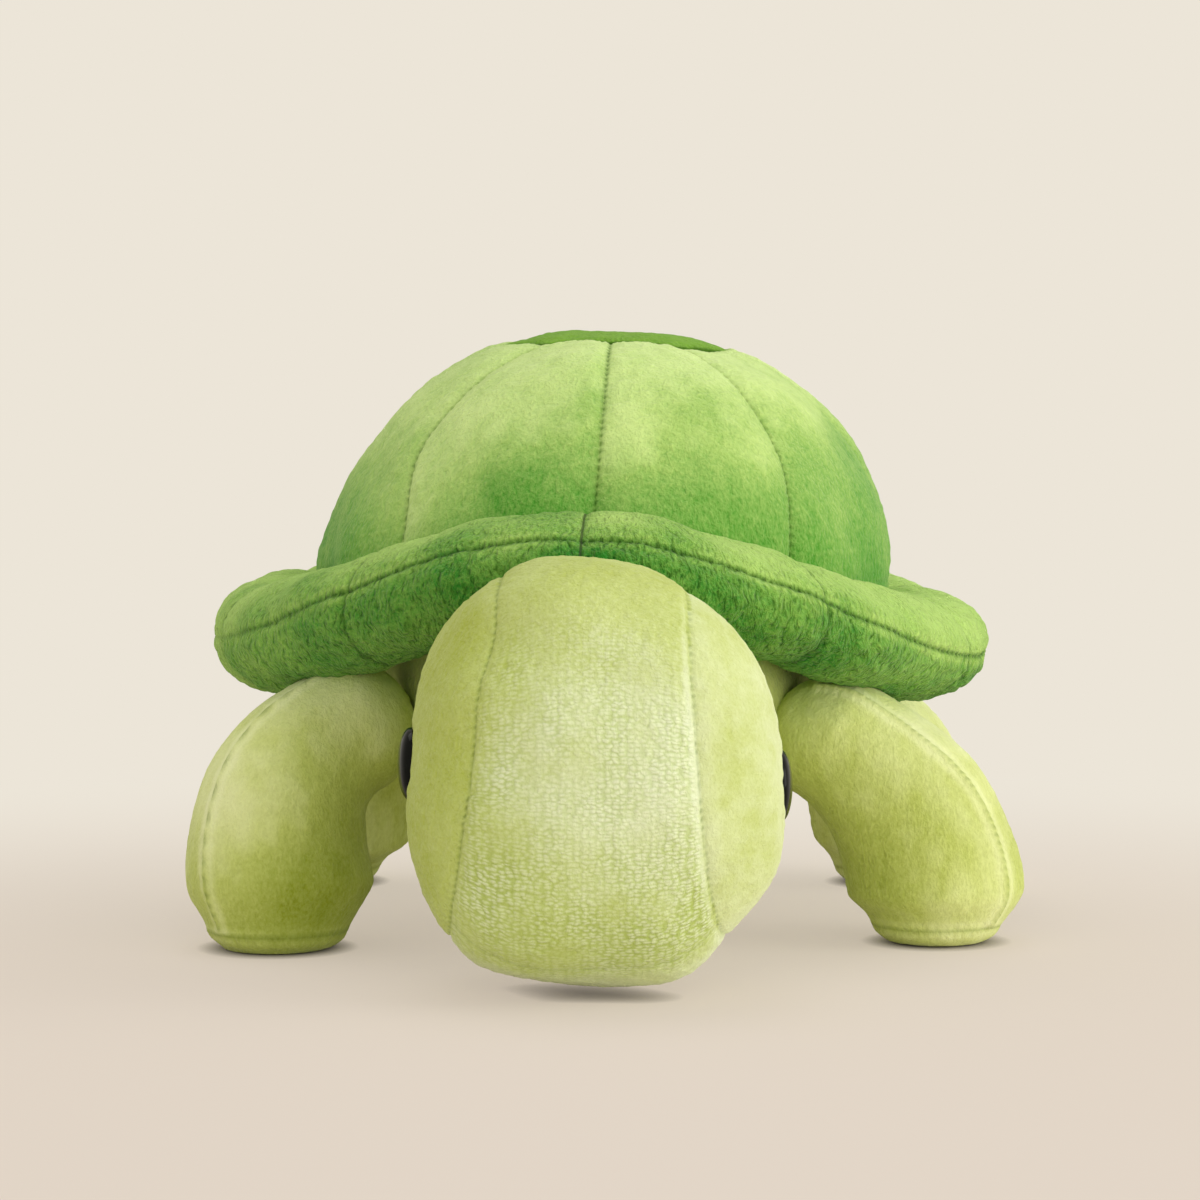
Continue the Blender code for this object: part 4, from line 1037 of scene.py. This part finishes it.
class TURTLE_OT_head(bpy.types.Operator):
    """Sew the head from its middle strip, chin panel and two cheeks"""

    bl_idname = "turtle.head"
    bl_label = "Head"

    def execute(self, context):
        head, seams, cloth = settings("head"), settings("seams"), settings("cloth")
        turn = (circle(340) - math.pi)[:, None]
        right, left = seam_sides(head, turn)
        pole = math.pi / 2
        cheek = np.append(crowded(44, 0.35), 1)
        side = np.concatenate([
            -pole + (pole + right) * cheek[:-1], right + (left - right) * crowded(84, 0.45),
            left + (pole - left) * cheek,
        ], axis=1)
        plain = head_points(head, side, turn)

        # Distance into the strip from the nearer of its seams
        right_edge, left_edge = strip_edges(head, turn)
        nearer_right = plain[..., 0] < (right_edge + left_edge) / 2
        aside = np.where(nearer_right, plain[..., 0] - right_edge, left_edge - plain[..., 0])
        aside = aside / np.maximum(np.cos(np.where(plain[..., 0] < 0, right, left)), 0.5)
        walk = np.linalg.norm(np.diff(plain, axis=0, append=plain[:1]), axis=-1)
        walk = np.cumsum(np.broadcast_to(walk[:, side.shape[1] // 2, None], side.shape), axis=0)
        chin_bow = 1 - 0.25 * (plain[..., 0] / head.half_width) ** 2
        to_chin = (turn - head.chin_turn * chin_bow) * head.chin_depth
        relief = seam_relief(aside, walk, seams) * 0.85 + eye_socket(head, plain)
        relief += seam_relief(to_chin, plain[..., 0], seams) * (aside > 0) * 0.3
        relief -= head.jaw_tuck * bell(aside, head.jaw_reach) * bell(turn - JAW_TURN, JAW_TURN_REACH)
        relief += unevenness(plain, seams, "head")
        normal = outward(plain, round_columns=False, round_rows=True)
        normal[:, 0] = (-1, 0, 0)
        normal[:, -1] = (1, 0, 0)
        points = plain + normal * relief[..., None]
        points[:, 0] = points[:, 0].mean(axis=0)
        points[:, -1] = points[:, -1].mean(axis=0)
        # Painted shade along the strip's seams and, faintly, along the chin's
        seam = bell(aside, seams.fine_line) * 0.5 * stitches(walk, seams, 0.45)
        seam = np.maximum(seam, bell(to_chin, seams.broad_line) * (aside > 0) * 0.2)
        run = (plain[..., 0], walk, head_tone_and_painted_light(head, plain, turn, aside))
        mesh = table_mesh(
            "head", place_head(head, points), seam, run, round_columns=False, round_rows=True,
            worn=head_wear(plain, turn, aside),
        )
        shades = cloth.skin_dark, cloth.skin_light, cloth.skin_highlight
        material = velvet("pale lime velvet, face", shades, 0.22, rows=0.50)
        nodes = ["head_gusset", "chin_panel", "head_side_left", "head_side_right", "head_filling"]
        add_piece("head", mesh, material, "head", nodes)
        return {"FINISHED"}


class TURTLE_OT_eyes(bpy.types.Operator):
    """Set a domed safety eye into each cheek"""

    bl_idname = "turtle.eyes"
    bl_label = "Eyes"

    def execute(self, context):
        head = settings("head")
        material = moulded_eye()
        turn = circle(72)[:, None]
        swing = np.linspace(0, math.pi / 2, 22)
        sink = head.half_width - head.eye_sink

        # Profile from the dome's top over its rim and in to the middle of the flat back
        radius = np.append(head.eye_radius * np.sin(swing), [head.eye_radius, head.eye_radius * 0.96, 0.0])
        height = np.append(head.eye_rise * np.cos(swing) ** 0.9, [-0.0008, -0.0014, -0.0014])
        for name, sign in (("left", 1), ("right", -1)):
            y = radius * np.cos(turn)
            z = radius * np.sin(turn) - sign * head.eye_drop
            points = np.stack([sign * (sink + height) + 0 * turn, y, z], axis=-1)[:, ::sign]
            points = place_head(head, points)
            mesh = table_mesh(
                f"eye_{name}", points, np.zeros(y.shape), round_columns=False, round_rows=True
            )
            work = bmesh.new()
            work.from_mesh(mesh)
            bmesh.ops.recalc_face_normals(work, faces=work.faces)
            work.to_mesh(mesh)
            work.free()
            add_piece(f"safety_eye_{name}", mesh, material, "head", [f"eye_{name}"])
        return {"FINISHED"}


# Body and limbs

def ring_points(centres, normals, radii, columns):
    """Circles of the given radii about the centres, each square to its own normal."""
    turn = circle(columns)[None, :, None]
    first = np.array([1.0, 0, 0]) - normals * normals[:, :1]
    first /= np.linalg.norm(first, axis=1, keepdims=True)
    second = np.cross(normals, first)
    spokes = np.cos(turn) * first[:, None] + np.sin(turn) * second[:, None]
    return centres[:, None] + radii[:, None, None] * spokes


# Each leg's side, 1 for the left, and end, 1 for the rear; its hip, knee and ankle as distance aside and
# height; its foot's place along Y, and how far its sole alone is set outward, in metres; and its hip's,
# knee's and foot's shares of the legs' radius
Leg = namedtuple("Leg", "name side end hip knee ankle foot_y set_out girths")
LEGS = (
    Leg("front_left", 1, -1, hip=(0.061, 0.0535), knee=(0.090, 0.034), ankle=(0.0878, 0.005),
        foot_y=-0.058, set_out=0.0, girths=(0.76, 0.94, 0.95)),
    Leg("front_right", -1, -1, hip=(0.066, 0.0555), knee=(0.092, 0.044), ankle=(0.0818, 0.005),
        foot_y=-0.070, set_out=0.0035, girths=(0.75, 0.98, 1.03)),
    Leg("rear_left", 1, 1, hip=(0.068, 0.047), knee=(0.087, 0.034), ankle=(0.0842, 0.005),
        foot_y=0.058, set_out=0.0, girths=(0.86, 0.98, 0.97)),
    Leg("rear_right", -1, 1, hip=(0.066, 0.047), knee=(0.082, 0.034), ankle=(0.0795, 0.005),
        foot_y=0.058, set_out=0.002, girths=(0.88, 1.00, 0.97)),
)

# Rings of a leg from its hip to its ankle, its columns, and the rows over the sole where its seam is placed
LEG_RINGS, LEG_COLUMNS, SEAM_ROWS = 70, 150, 20

# Where a leg's long seams start under the hip and end over the sole's seam, and how far under that seam the
# relief ends, in metres
SEAM_START, SEAM_END, RELIEF_END = 0.012, 0.0005, 0.006

# Distance from a leg's seams of their pale ridge of pile, a painted highlight, and the ridge's half width, in
# metres
LEG_HIGHLIGHT, LEG_HIGHLIGHT_WIDTH = 0.0018, 0.0012

# Height and reach of the pale band at the knees, painted light against the brim's shadow, and reach of the
# one at the left feet, depth over which a leg turns to its outer side, where it takes painted light, and the
# size of its waves, in metres
KNEE_PAINTED_LIGHT, KNEE_REACH, FOOT_REACH, OUTER_LIGHT_REACH, LEG_WAVES = 0.072, 0.018, 0.030, 0.012, 0.050

# Share of the body's curve at which its belly is sewn on, how much longer its sides are than a quarter circle
# of its half height, the radius that its stitches are spaced by, and the metres of cloth round and down it
BELLY_PART, BODY_STRETCH, BELLY_RADIUS, BODY_RUN = 0.42, 1.6, 0.05, (0.07, 0.06)

DOWN = np.array([0, 0, -1.0])


def leg_spine(limbs, leg):
    """Centres and directions of a leg's rings: a curve of the second degree past the knee, its last rings set
    outward and turned straight down."""
    hip_y = -limbs.front_hip_reach if leg.end < 0 else limbs.rear_hip_reach
    ways = (leg.hip, hip_y), (leg.knee, (hip_y + leg.foot_y) / 2), (leg.ankle, leg.foot_y)
    hip, knee, ankle = (np.array([leg.side * aside, y + SHELL_Y, z]) for (aside, z), y in ways)
    part = np.linspace(0, 1, LEG_RINGS)[:, None]
    centres = hip * (1 - part) ** 2 + knee * 2 * part * (1 - part) + ankle * part ** 2
    centres[:, 0] += leg.side * leg.set_out * np.clip((part[:, 0] - 0.82) / 0.18, 0, 1) ** 2
    normals = (knee - hip) * (1 - part) + (centres[-1] - knee) * part
    normals /= np.linalg.norm(normals, axis=1, keepdims=True)
    blend = np.clip((part - 0.7) / 0.3, 0, 1) ** 2
    normals = normals * (1 - blend) + DOWN * blend
    return centres, normals / np.linalg.norm(normals, axis=1, keepdims=True)


def leg_radii(limbs, leg):
    """Radii of a leg's rings: shares at eight places between the girths of hip, knee and foot, joined by
    lines and smoothed by a running mean of 13 rings."""
    hip, knee, foot = leg.girths
    places = (0.0, 0.12, 0.3, 0.45, 0.62, 0.78, 0.92, 1.0)
    shares = (
        hip, 0.60 * hip + 0.36, 0.35 * hip + 0.62 * knee + 0.05, 1.02 * knee, 1.06 * knee,
        0.54 * (knee + foot), 1.05 * foot, 0.66 * foot,
    )
    girth = np.interp(np.linspace(0, 1, LEG_RINGS), places, shares)
    return limbs.leg_radius * np.convolve(np.pad(girth, 6, mode="edge"), np.ones(13) / 13, mode="valid")


def leg_rings(limbs, leg):
    """Centres, directions and radii of all of a leg's rings: a half ball over the hip, the spine, a quarter
    circle that curls the sole's edge in, and the flat sole. Gives also the ring of the sole's seam."""
    centres, normals = leg_spine(limbs, leg)
    radii = leg_radii(limbs, leg)
    swing = np.linspace(0, math.pi / 2, 34)[:-1]
    curl = np.linspace(0, math.pi / 2, 12)[1:]
    shrink = np.linspace(1, 0, 12)[1:]
    cap = centres[0] - normals[0] * radii[0] * np.cos(swing)[:, None]
    sole = centres[-1] * [1, 1, 0] + np.outer(centres[-1, 2] * (1 - np.sin(curl)) + FLOOR_GAP, [0, 0, 1])
    sole_radii = radii[-1] - limbs.sole_curl * (1 - np.cos(curl))
    all_centres = np.concatenate([cap, centres, sole, np.repeat(sole[-1:], len(shrink), axis=0)])
    ways = [np.repeat(normals[:1], len(swing), 0), normals, np.repeat(DOWN[None], len(curl) + len(shrink), 0)]
    all_radii = np.concatenate([radii[0] * np.sin(swing), radii, sole_radii, sole_radii[-1] * shrink])
    return all_centres, np.concatenate(ways), all_radii, len(swing) + LEG_RINGS - 1


def leg_tone_and_painted_light(leg, number, plain, centres):
    """How pale a leg's pile lies: waves of tone, with painted light in a band at the knee's height, more on
    its outer side, and more on the rear legs, which stand in shade, and a little more at the left feet."""
    outer = np.tanh((np.abs(plain[..., 0]) - np.abs(centres[:, None, 0])) / OUTER_LIGHT_REACH)
    pale = 0.44 + 0.12 * waves(plain, LEG_WAVES, 81 + number)
    pale = pale + 0.30 * bell(plain[..., 2] - KNEE_PAINTED_LIGHT, KNEE_REACH)
    pale = pale + (0.30 if leg.end > 0 else 0.0) + 0.20 * outer
    return pale + (0.06 if leg.side > 0 else 0.0) * bell(plain[..., 2], FOOT_REACH)


def sew_leg(limbs, seams, leg, number, material):
    """Closed table of a leg's rings with the relief of its long seam, the fainter one opposite, its sole's
    seam, its lumps and its pile."""
    centres, normals, radii, seam_row = leg_rings(limbs, leg)
    plain = ring_points(centres, normals, radii, LEG_COLUMNS)
    turn = circle(LEG_COLUMNS)[None, :]
    walk = np.cumsum(np.linalg.norm(np.diff(plain[:, 0], axis=0, prepend=plain[:1, 0]), axis=1))[:, None]
    along = walk + 0 * turn
    to_sole = walk - walk[seam_row]

    # The seam runs down the column that faces its heading a few rows over the sole
    spoke = plain[seam_row - SEAM_ROWS] - centres[seam_row - SEAM_ROWS]
    heading = math.atan2(-math.sin(limbs.seam_turn), leg.side * math.cos(limbs.seam_turn))
    column = np.argmin(np.abs(off_angle(np.arctan2(spoke[:, 1], spoke[:, 0]), heading)))
    width = np.maximum(radii[:, None], 0.004)
    off = (np.mod(turn - turn[0, column] + math.pi, TAU) - math.pi) * width
    back = (np.mod(turn - turn[0, column], TAU) - math.pi) * width
    above = (to_sole < -SEAM_END) * (walk > SEAM_START) * 1.0
    relief = (seam_relief(off, along, seams) + seam_relief(back, along, seams) * 0.3) * above
    relief = relief + seam_relief(to_sole + 0 * turn, turn * radii[seam_row], seams) * 0.55
    relief = relief + unevenness(plain, seams, "leg", number)
    relief = relief * (to_sole < RELIEF_END)
    relief[0] = relief[0].mean()
    relief[-1] = 0
    normal = -outward(plain)
    normal[0], normal[-1] = -normals[0], DOWN
    points = plain + normal * relief[..., None]
    points[..., 2] = np.maximum(points[..., 2], FLOOR_GAP)
    # Painted shade along the long seams and round the sole's seam
    line = np.maximum(bell(off, seams.fine_line), bell(back, seams.fine_line)) * above
    seam = np.maximum(line * 0.45 * stitches(along, seams, 0.5), bell(to_sole, seams.fine_line) * 0.35)
    # Painted light on the leg, then painted highlights on ridges of pile beside its long seams and its sole's
    # seam
    pale = leg_tone_and_painted_light(leg, number, plain, centres)
    pale = pale + 0.22 * bell(np.abs(off) - LEG_HIGHLIGHT, LEG_HIGHLIGHT_WIDTH) * above
    pale = pale + 0.15 * bell(np.abs(to_sole) - LEG_HIGHLIGHT, LEG_HIGHLIGHT_WIDTH)

    # The rings run clockwise seen from outside, so their columns are turned round
    name = f"leg_{leg.name}"
    run = (off[:, ::-1], along[:, ::-1], pale[:, ::-1])
    mesh = table_mesh(f"{name}_cloth", points[:, ::-1], seam[:, ::-1], run)
    add_piece(f"{name}_cloth", mesh, material, name, [name, f"sole_{leg.name}"])


class TURTLE_OT_legs(bpy.types.Operator):
    """Sew the four stubby legs with their flat soles"""

    bl_idname = "turtle.legs"
    bl_label = "Legs"

    def execute(self, context):
        limbs, seams, cloth = settings("limbs"), settings("seams"), settings("cloth")
        shades = cloth.limb_dark, cloth.limb_light, cloth.limb_highlight
        material = velvet("pale lime velvet, legs", shades, 0.15, combed=0.6, bump=0.4)
        for number, leg in enumerate(LEGS):
            sew_leg(limbs, seams, leg, number, material)
        return {"FINISHED"}


def sew_body(limbs, seams, material):
    """Closed table of the body: a superellipsoid, cut flat where the shell is sewn on, with a belly seam."""
    theta = circle(260)[None, :]
    part = np.linspace(0, 2, 150)[:, None]
    swing = part * math.pi / 2
    breadth = power(np.sin(swing), 2 / limbs.body_fullness)
    x = limbs.body_half_width * breadth * np.sin(theta)
    y = -limbs.body_half_length * breadth * np.cos(theta) + SHELL_Y
    rise = power(np.cos(swing), 2 / limbs.body_fullness)
    z = limbs.body_girth_height - limbs.body_half_height * rise + 0 * theta
    plain = np.stack([x, y, np.minimum(z, limbs.body_top)], axis=-1)
    to_belly = (part - BELLY_PART) * limbs.body_half_height * math.pi / 2 * BODY_STRETCH + 0 * theta
    relief = seam_relief(to_belly, theta * BELLY_RADIUS + 0 * part, seams) * 0.7
    relief += unevenness(plain, seams, "body")
    relief[0], relief[-1] = 0, 0
    points = plain + outward(plain) * relief[..., None]
    # Painted shade along the belly seam
    seam = bell(to_belly, seams.fine_line) * 0.5
    mesh = table_mesh("body_cloth", points, seam, (theta * BODY_RUN[0], part * BODY_RUN[1], 1.0))
    add_piece("body_cloth", mesh, material, "torso", ["body", "belly_panel"])


def stuffed_tube(centres, radii, columns, relief_of):
    """Closed table of rings across Y with a relief that a function gives for the even points."""
    plain = ring_points(centres, np.repeat([[0, 1.0, 0]], len(centres), 0), radii, columns)
    relief = relief_of(plain)
    relief[0], relief[-1] = 0, 0
    return (plain - outward(plain) * relief[..., None])[:, ::-1]


def sew_neck(limbs, seams, material):
    """Closed table of the neck: rings whose radii fall to nothing at both ends by a sixth power."""
    way = np.linspace(-1, 1, 60)[:, None]
    along = way * limbs.neck_half_length
    y = SHELL_Y - limbs.neck_reach + along
    centres = np.concatenate([0 * way, y, limbs.neck_height + 0 * way], axis=1)
    radii = limbs.neck_radius * (1 - np.abs(way[:, 0]) ** 6) ** 0.5
    points = stuffed_tube(centres, radii, 120, lambda plain: unevenness(plain, seams, "neck"))
    mesh = table_mesh("neck_cloth", points, np.zeros(points.shape[:2]), (along, 0.0, 1.0))
    add_piece("neck_cloth", mesh, material, "head", ["neck"])


def tail_radii(limbs, way):
    """Radii down the tail: a quarter circle at the root, a taper by lines between shares, and a round tip."""
    root = np.sqrt(np.clip(1 - (2 * np.clip(way / 0.5, 0, 0.5) - 1) ** 2, 0, 1))
    taper = np.interp(way, (0, 0.25, 0.5, 0.7, 0.84, 1.0), (1, 1, 0.92, 0.74, 0.56, 0.0))
    tip = 0.56 * np.sqrt(np.clip(1 - ((way - 0.84) / 0.16) ** 2, 0, 1))
    return limbs.tail_radius * np.where(way < 0.25, root, np.where(way > 0.84, tip, taper))


def sew_tail(limbs, seams, material):
    """Closed table of the tail: rings along a line that droops by a square, with a seam on each side."""
    way = np.linspace(0, 1, 70)
    radii = tail_radii(limbs, way)
    start = SHELL_Y + limbs.tail_seat - limbs.tail_radius
    y = start + way * (limbs.tail_length + limbs.tail_radius)
    centres = np.stack([0 * way, y, limbs.tail_height - limbs.tail_droop * way ** 2], axis=1)
    turn = circle(96)[None, :]
    aside = off_seam(turn, math.pi) * np.maximum(radii[:, None], 0.003)

    def relief_of(plain):
        """The seam's dip, away from the tail's two ends, with lumps and pile."""
        dip = seam_relief(aside, y[:, None] + 0 * turn, seams) * 0.5 * (radii[:, None] > 0.004)
        return dip + unevenness(plain, seams, "tail")

    points = stuffed_tube(centres, radii, 96, relief_of)
    aside = aside[:, ::-1]
    # Painted shade along the tail's seams
    mesh = table_mesh("tail_cloth", points, bell(aside, seams.fine_line) * 0.5, (aside, way[:, None], 0.5))
    add_piece("tail_cloth", mesh, material, "tail", ["tail"])


class TURTLE_OT_body(bpy.types.Operator):
    """Sew the body with its belly panel, the neck and the tail"""

    bl_idname = "turtle.body"
    bl_label = "Body, neck and tail"

    def execute(self, context):
        limbs, seams, cloth = settings("limbs"), settings("seams"), settings("cloth")
        shades = cloth.limb_dark, cloth.limb_light, cloth.limb_light
        material = velvet("pale lime velvet, body", shades, 0.20, combed=0.5)
        sew_body(limbs, seams, material)
        sew_neck(limbs, seams, material)
        sew_tail(limbs, seams, material)
        return {"FINISHED"}


# Studio

# Each lamp's place, the point that it aims at, its size in metres, its watts and how blue its light is
LAMPS = {
    "key": ((2.2, -0.9, 1.8), (0, 0, 0.06), 1.5, 13, 0.97),
    "low": ((2.5, -0.2, 0.6), (0, 0, 0.06), 1.5, 19, 0.97),
    "fill": ((1.2, -2.4, 0.40), (0, 0, 0.05), 1.2, 15.5, 0.96),
    "top": ((-0.2, 0.5, 2.6), (0, 0.05, 0.05), 1.4, 12, 0.97),
}
ROOM_TINT = (1.0, 0.972, 0.93, 1)


def add_lamp(name, place, aim, size, watts, blue):
    """Square soft lamp at a place, turned to aim at a point."""
    data = bpy.data.lights.new(name, "AREA")
    data.shape = "SQUARE"
    data.size = size
    data.energy = watts
    data.color = (1.0, 0.99, blue)
    lamp = bpy.data.objects.new(name, data)
    bpy.context.scene.collection.objects.link(lamp)
    lamp.location = place
    lamp.rotation_euler = (Vector(aim) - Vector(place)).to_track_quat("-Z", "Y").to_euler()


def lay_floor(studio):
    """Square sheet of paper, 16 m wide, under the toy."""
    reach = np.array([-8.0, 8.0])
    points = np.stack([*np.meshgrid(reach, reach), np.zeros((2, 2))], axis=-1)
    mesh = table_mesh("floor", points, np.zeros((2, 2)), round_columns=False)
    mesh.materials.append(studio_paper(
        "seamless paper", studio.floor_colour, studio.floor_tone, studio.wall_colour, (0, -0.25, 0),
        studio.paper_near, studio.paper_far,
    ))
    floor = bpy.data.objects.new("floor", mesh)
    bpy.context.scene.collection.objects.link(floor)


def light_room(studio):
    """World whose light is one tone, and what is seen of it behind the floor another."""
    world = bpy.data.worlds.new("soft room")
    bpy.context.scene.world = world
    world.use_nodes = True
    tree = world.node_tree
    light = tree.nodes["Background"]
    light.inputs["Color"].default_value = ROOM_TINT
    light.inputs["Strength"].default_value = studio.room_light
    wall = add_node(tree, "ShaderNodeBackground", {"Color": linear(studio.wall_colour), "Strength": 1.0})
    mixed = add_node(
        tree, "ShaderNodeMixShader", links={0: seen_ray(tree), 1: light.outputs[0], 2: wall.outputs[0]}
    )
    tree.links.new(mixed.outputs[0], tree.nodes["World Output"].inputs["Surface"])


def set_camera(studio):
    """Camera in front of the toy, turned a little down."""
    data = bpy.data.cameras.new("camera")
    data.sensor_width = 36
    data.lens = studio.lens
    data.clip_start = 0.01
    camera = bpy.data.objects.new("camera", data)
    bpy.context.scene.collection.objects.link(camera)
    camera.location = (studio.camera_aside, SHELL_Y - studio.camera_distance, studio.camera_height)
    camera.rotation_euler = (math.pi / 2 - studio.camera_pitch, 0, 0)
    bpy.context.scene.camera = camera


class TURTLE_OT_studio(bpy.types.Operator):
    """Set up the paper backdrop, the lamps and the camera"""

    bl_idname = "turtle.studio"
    bl_label = "Studio"

    def execute(self, context):
        studio = settings("studio")
        lay_floor(studio)
        for name, lamp in LAMPS.items():
            add_lamp(name, *lamp)
        light_room(studio)
        set_camera(studio)
        context.scene.view_settings.view_transform = "Standard"
        return {"FINISHED"}


class TURTLE_PT_panel(bpy.types.Panel):
    """Buttons that build the toy piece by piece"""

    bl_idname = "TURTLE_PT_panel"
    bl_label = "Stuffed Turtle"
    bl_space_type = "VIEW_3D"
    bl_region_type = "UI"
    bl_category = "Turtle"

    def draw(self, context):
        for operator in OPERATORS:
            self.layout.operator(operator.bl_idname)
        for key in GROUPS:
            group = settings(key)
            box = self.layout.box()
            box.label(text=key.capitalize())
            for field in group.bl_rna.properties:
                if field.identifier not in {"rna_type", "name"}:
                    box.prop(group, field.identifier)


GROUPS = {
    "seams": SeamSettings,
    "shell": ShellSettings,
    "head": HeadSettings,
    "limbs": LimbSettings,
    "cloth": ClothSettings,
    "studio": StudioSettings,
}
OPERATORS = (
    TURTLE_OT_studio, TURTLE_OT_dome, TURTLE_OT_brim, TURTLE_OT_head, TURTLE_OT_eyes, TURTLE_OT_legs,
    TURTLE_OT_body,
)


def settings(key):
    """The scene's own copy of a group of settings."""
    return getattr(bpy.context.scene, f"turtle_{key}")


def register():
    """Register the classes and hang the settings on the scene."""
    for cls in (*GROUPS.values(), *OPERATORS, TURTLE_PT_panel):
        bpy.utils.register_class(cls)
    for key, cls in GROUPS.items():
        setattr(bpy.types.Scene, f"turtle_{key}", PointerProperty(type=cls))


def unregister():
    """Take the settings and the classes away again."""
    for key in GROUPS:
        delattr(bpy.types.Scene, f"turtle_{key}")
    for cls in reversed((*GROUPS.values(), *OPERATORS, TURTLE_PT_panel)):
        bpy.utils.unregister_class(cls)


def main():
    """Build everything."""
    register()
    bpy.ops.turtle.studio()
    bpy.ops.turtle.dome()
    bpy.ops.turtle.brim()
    bpy.ops.turtle.head()
    bpy.ops.turtle.eyes()
    bpy.ops.turtle.legs()
    bpy.ops.turtle.body()


if __name__ == "__main__":
    main()
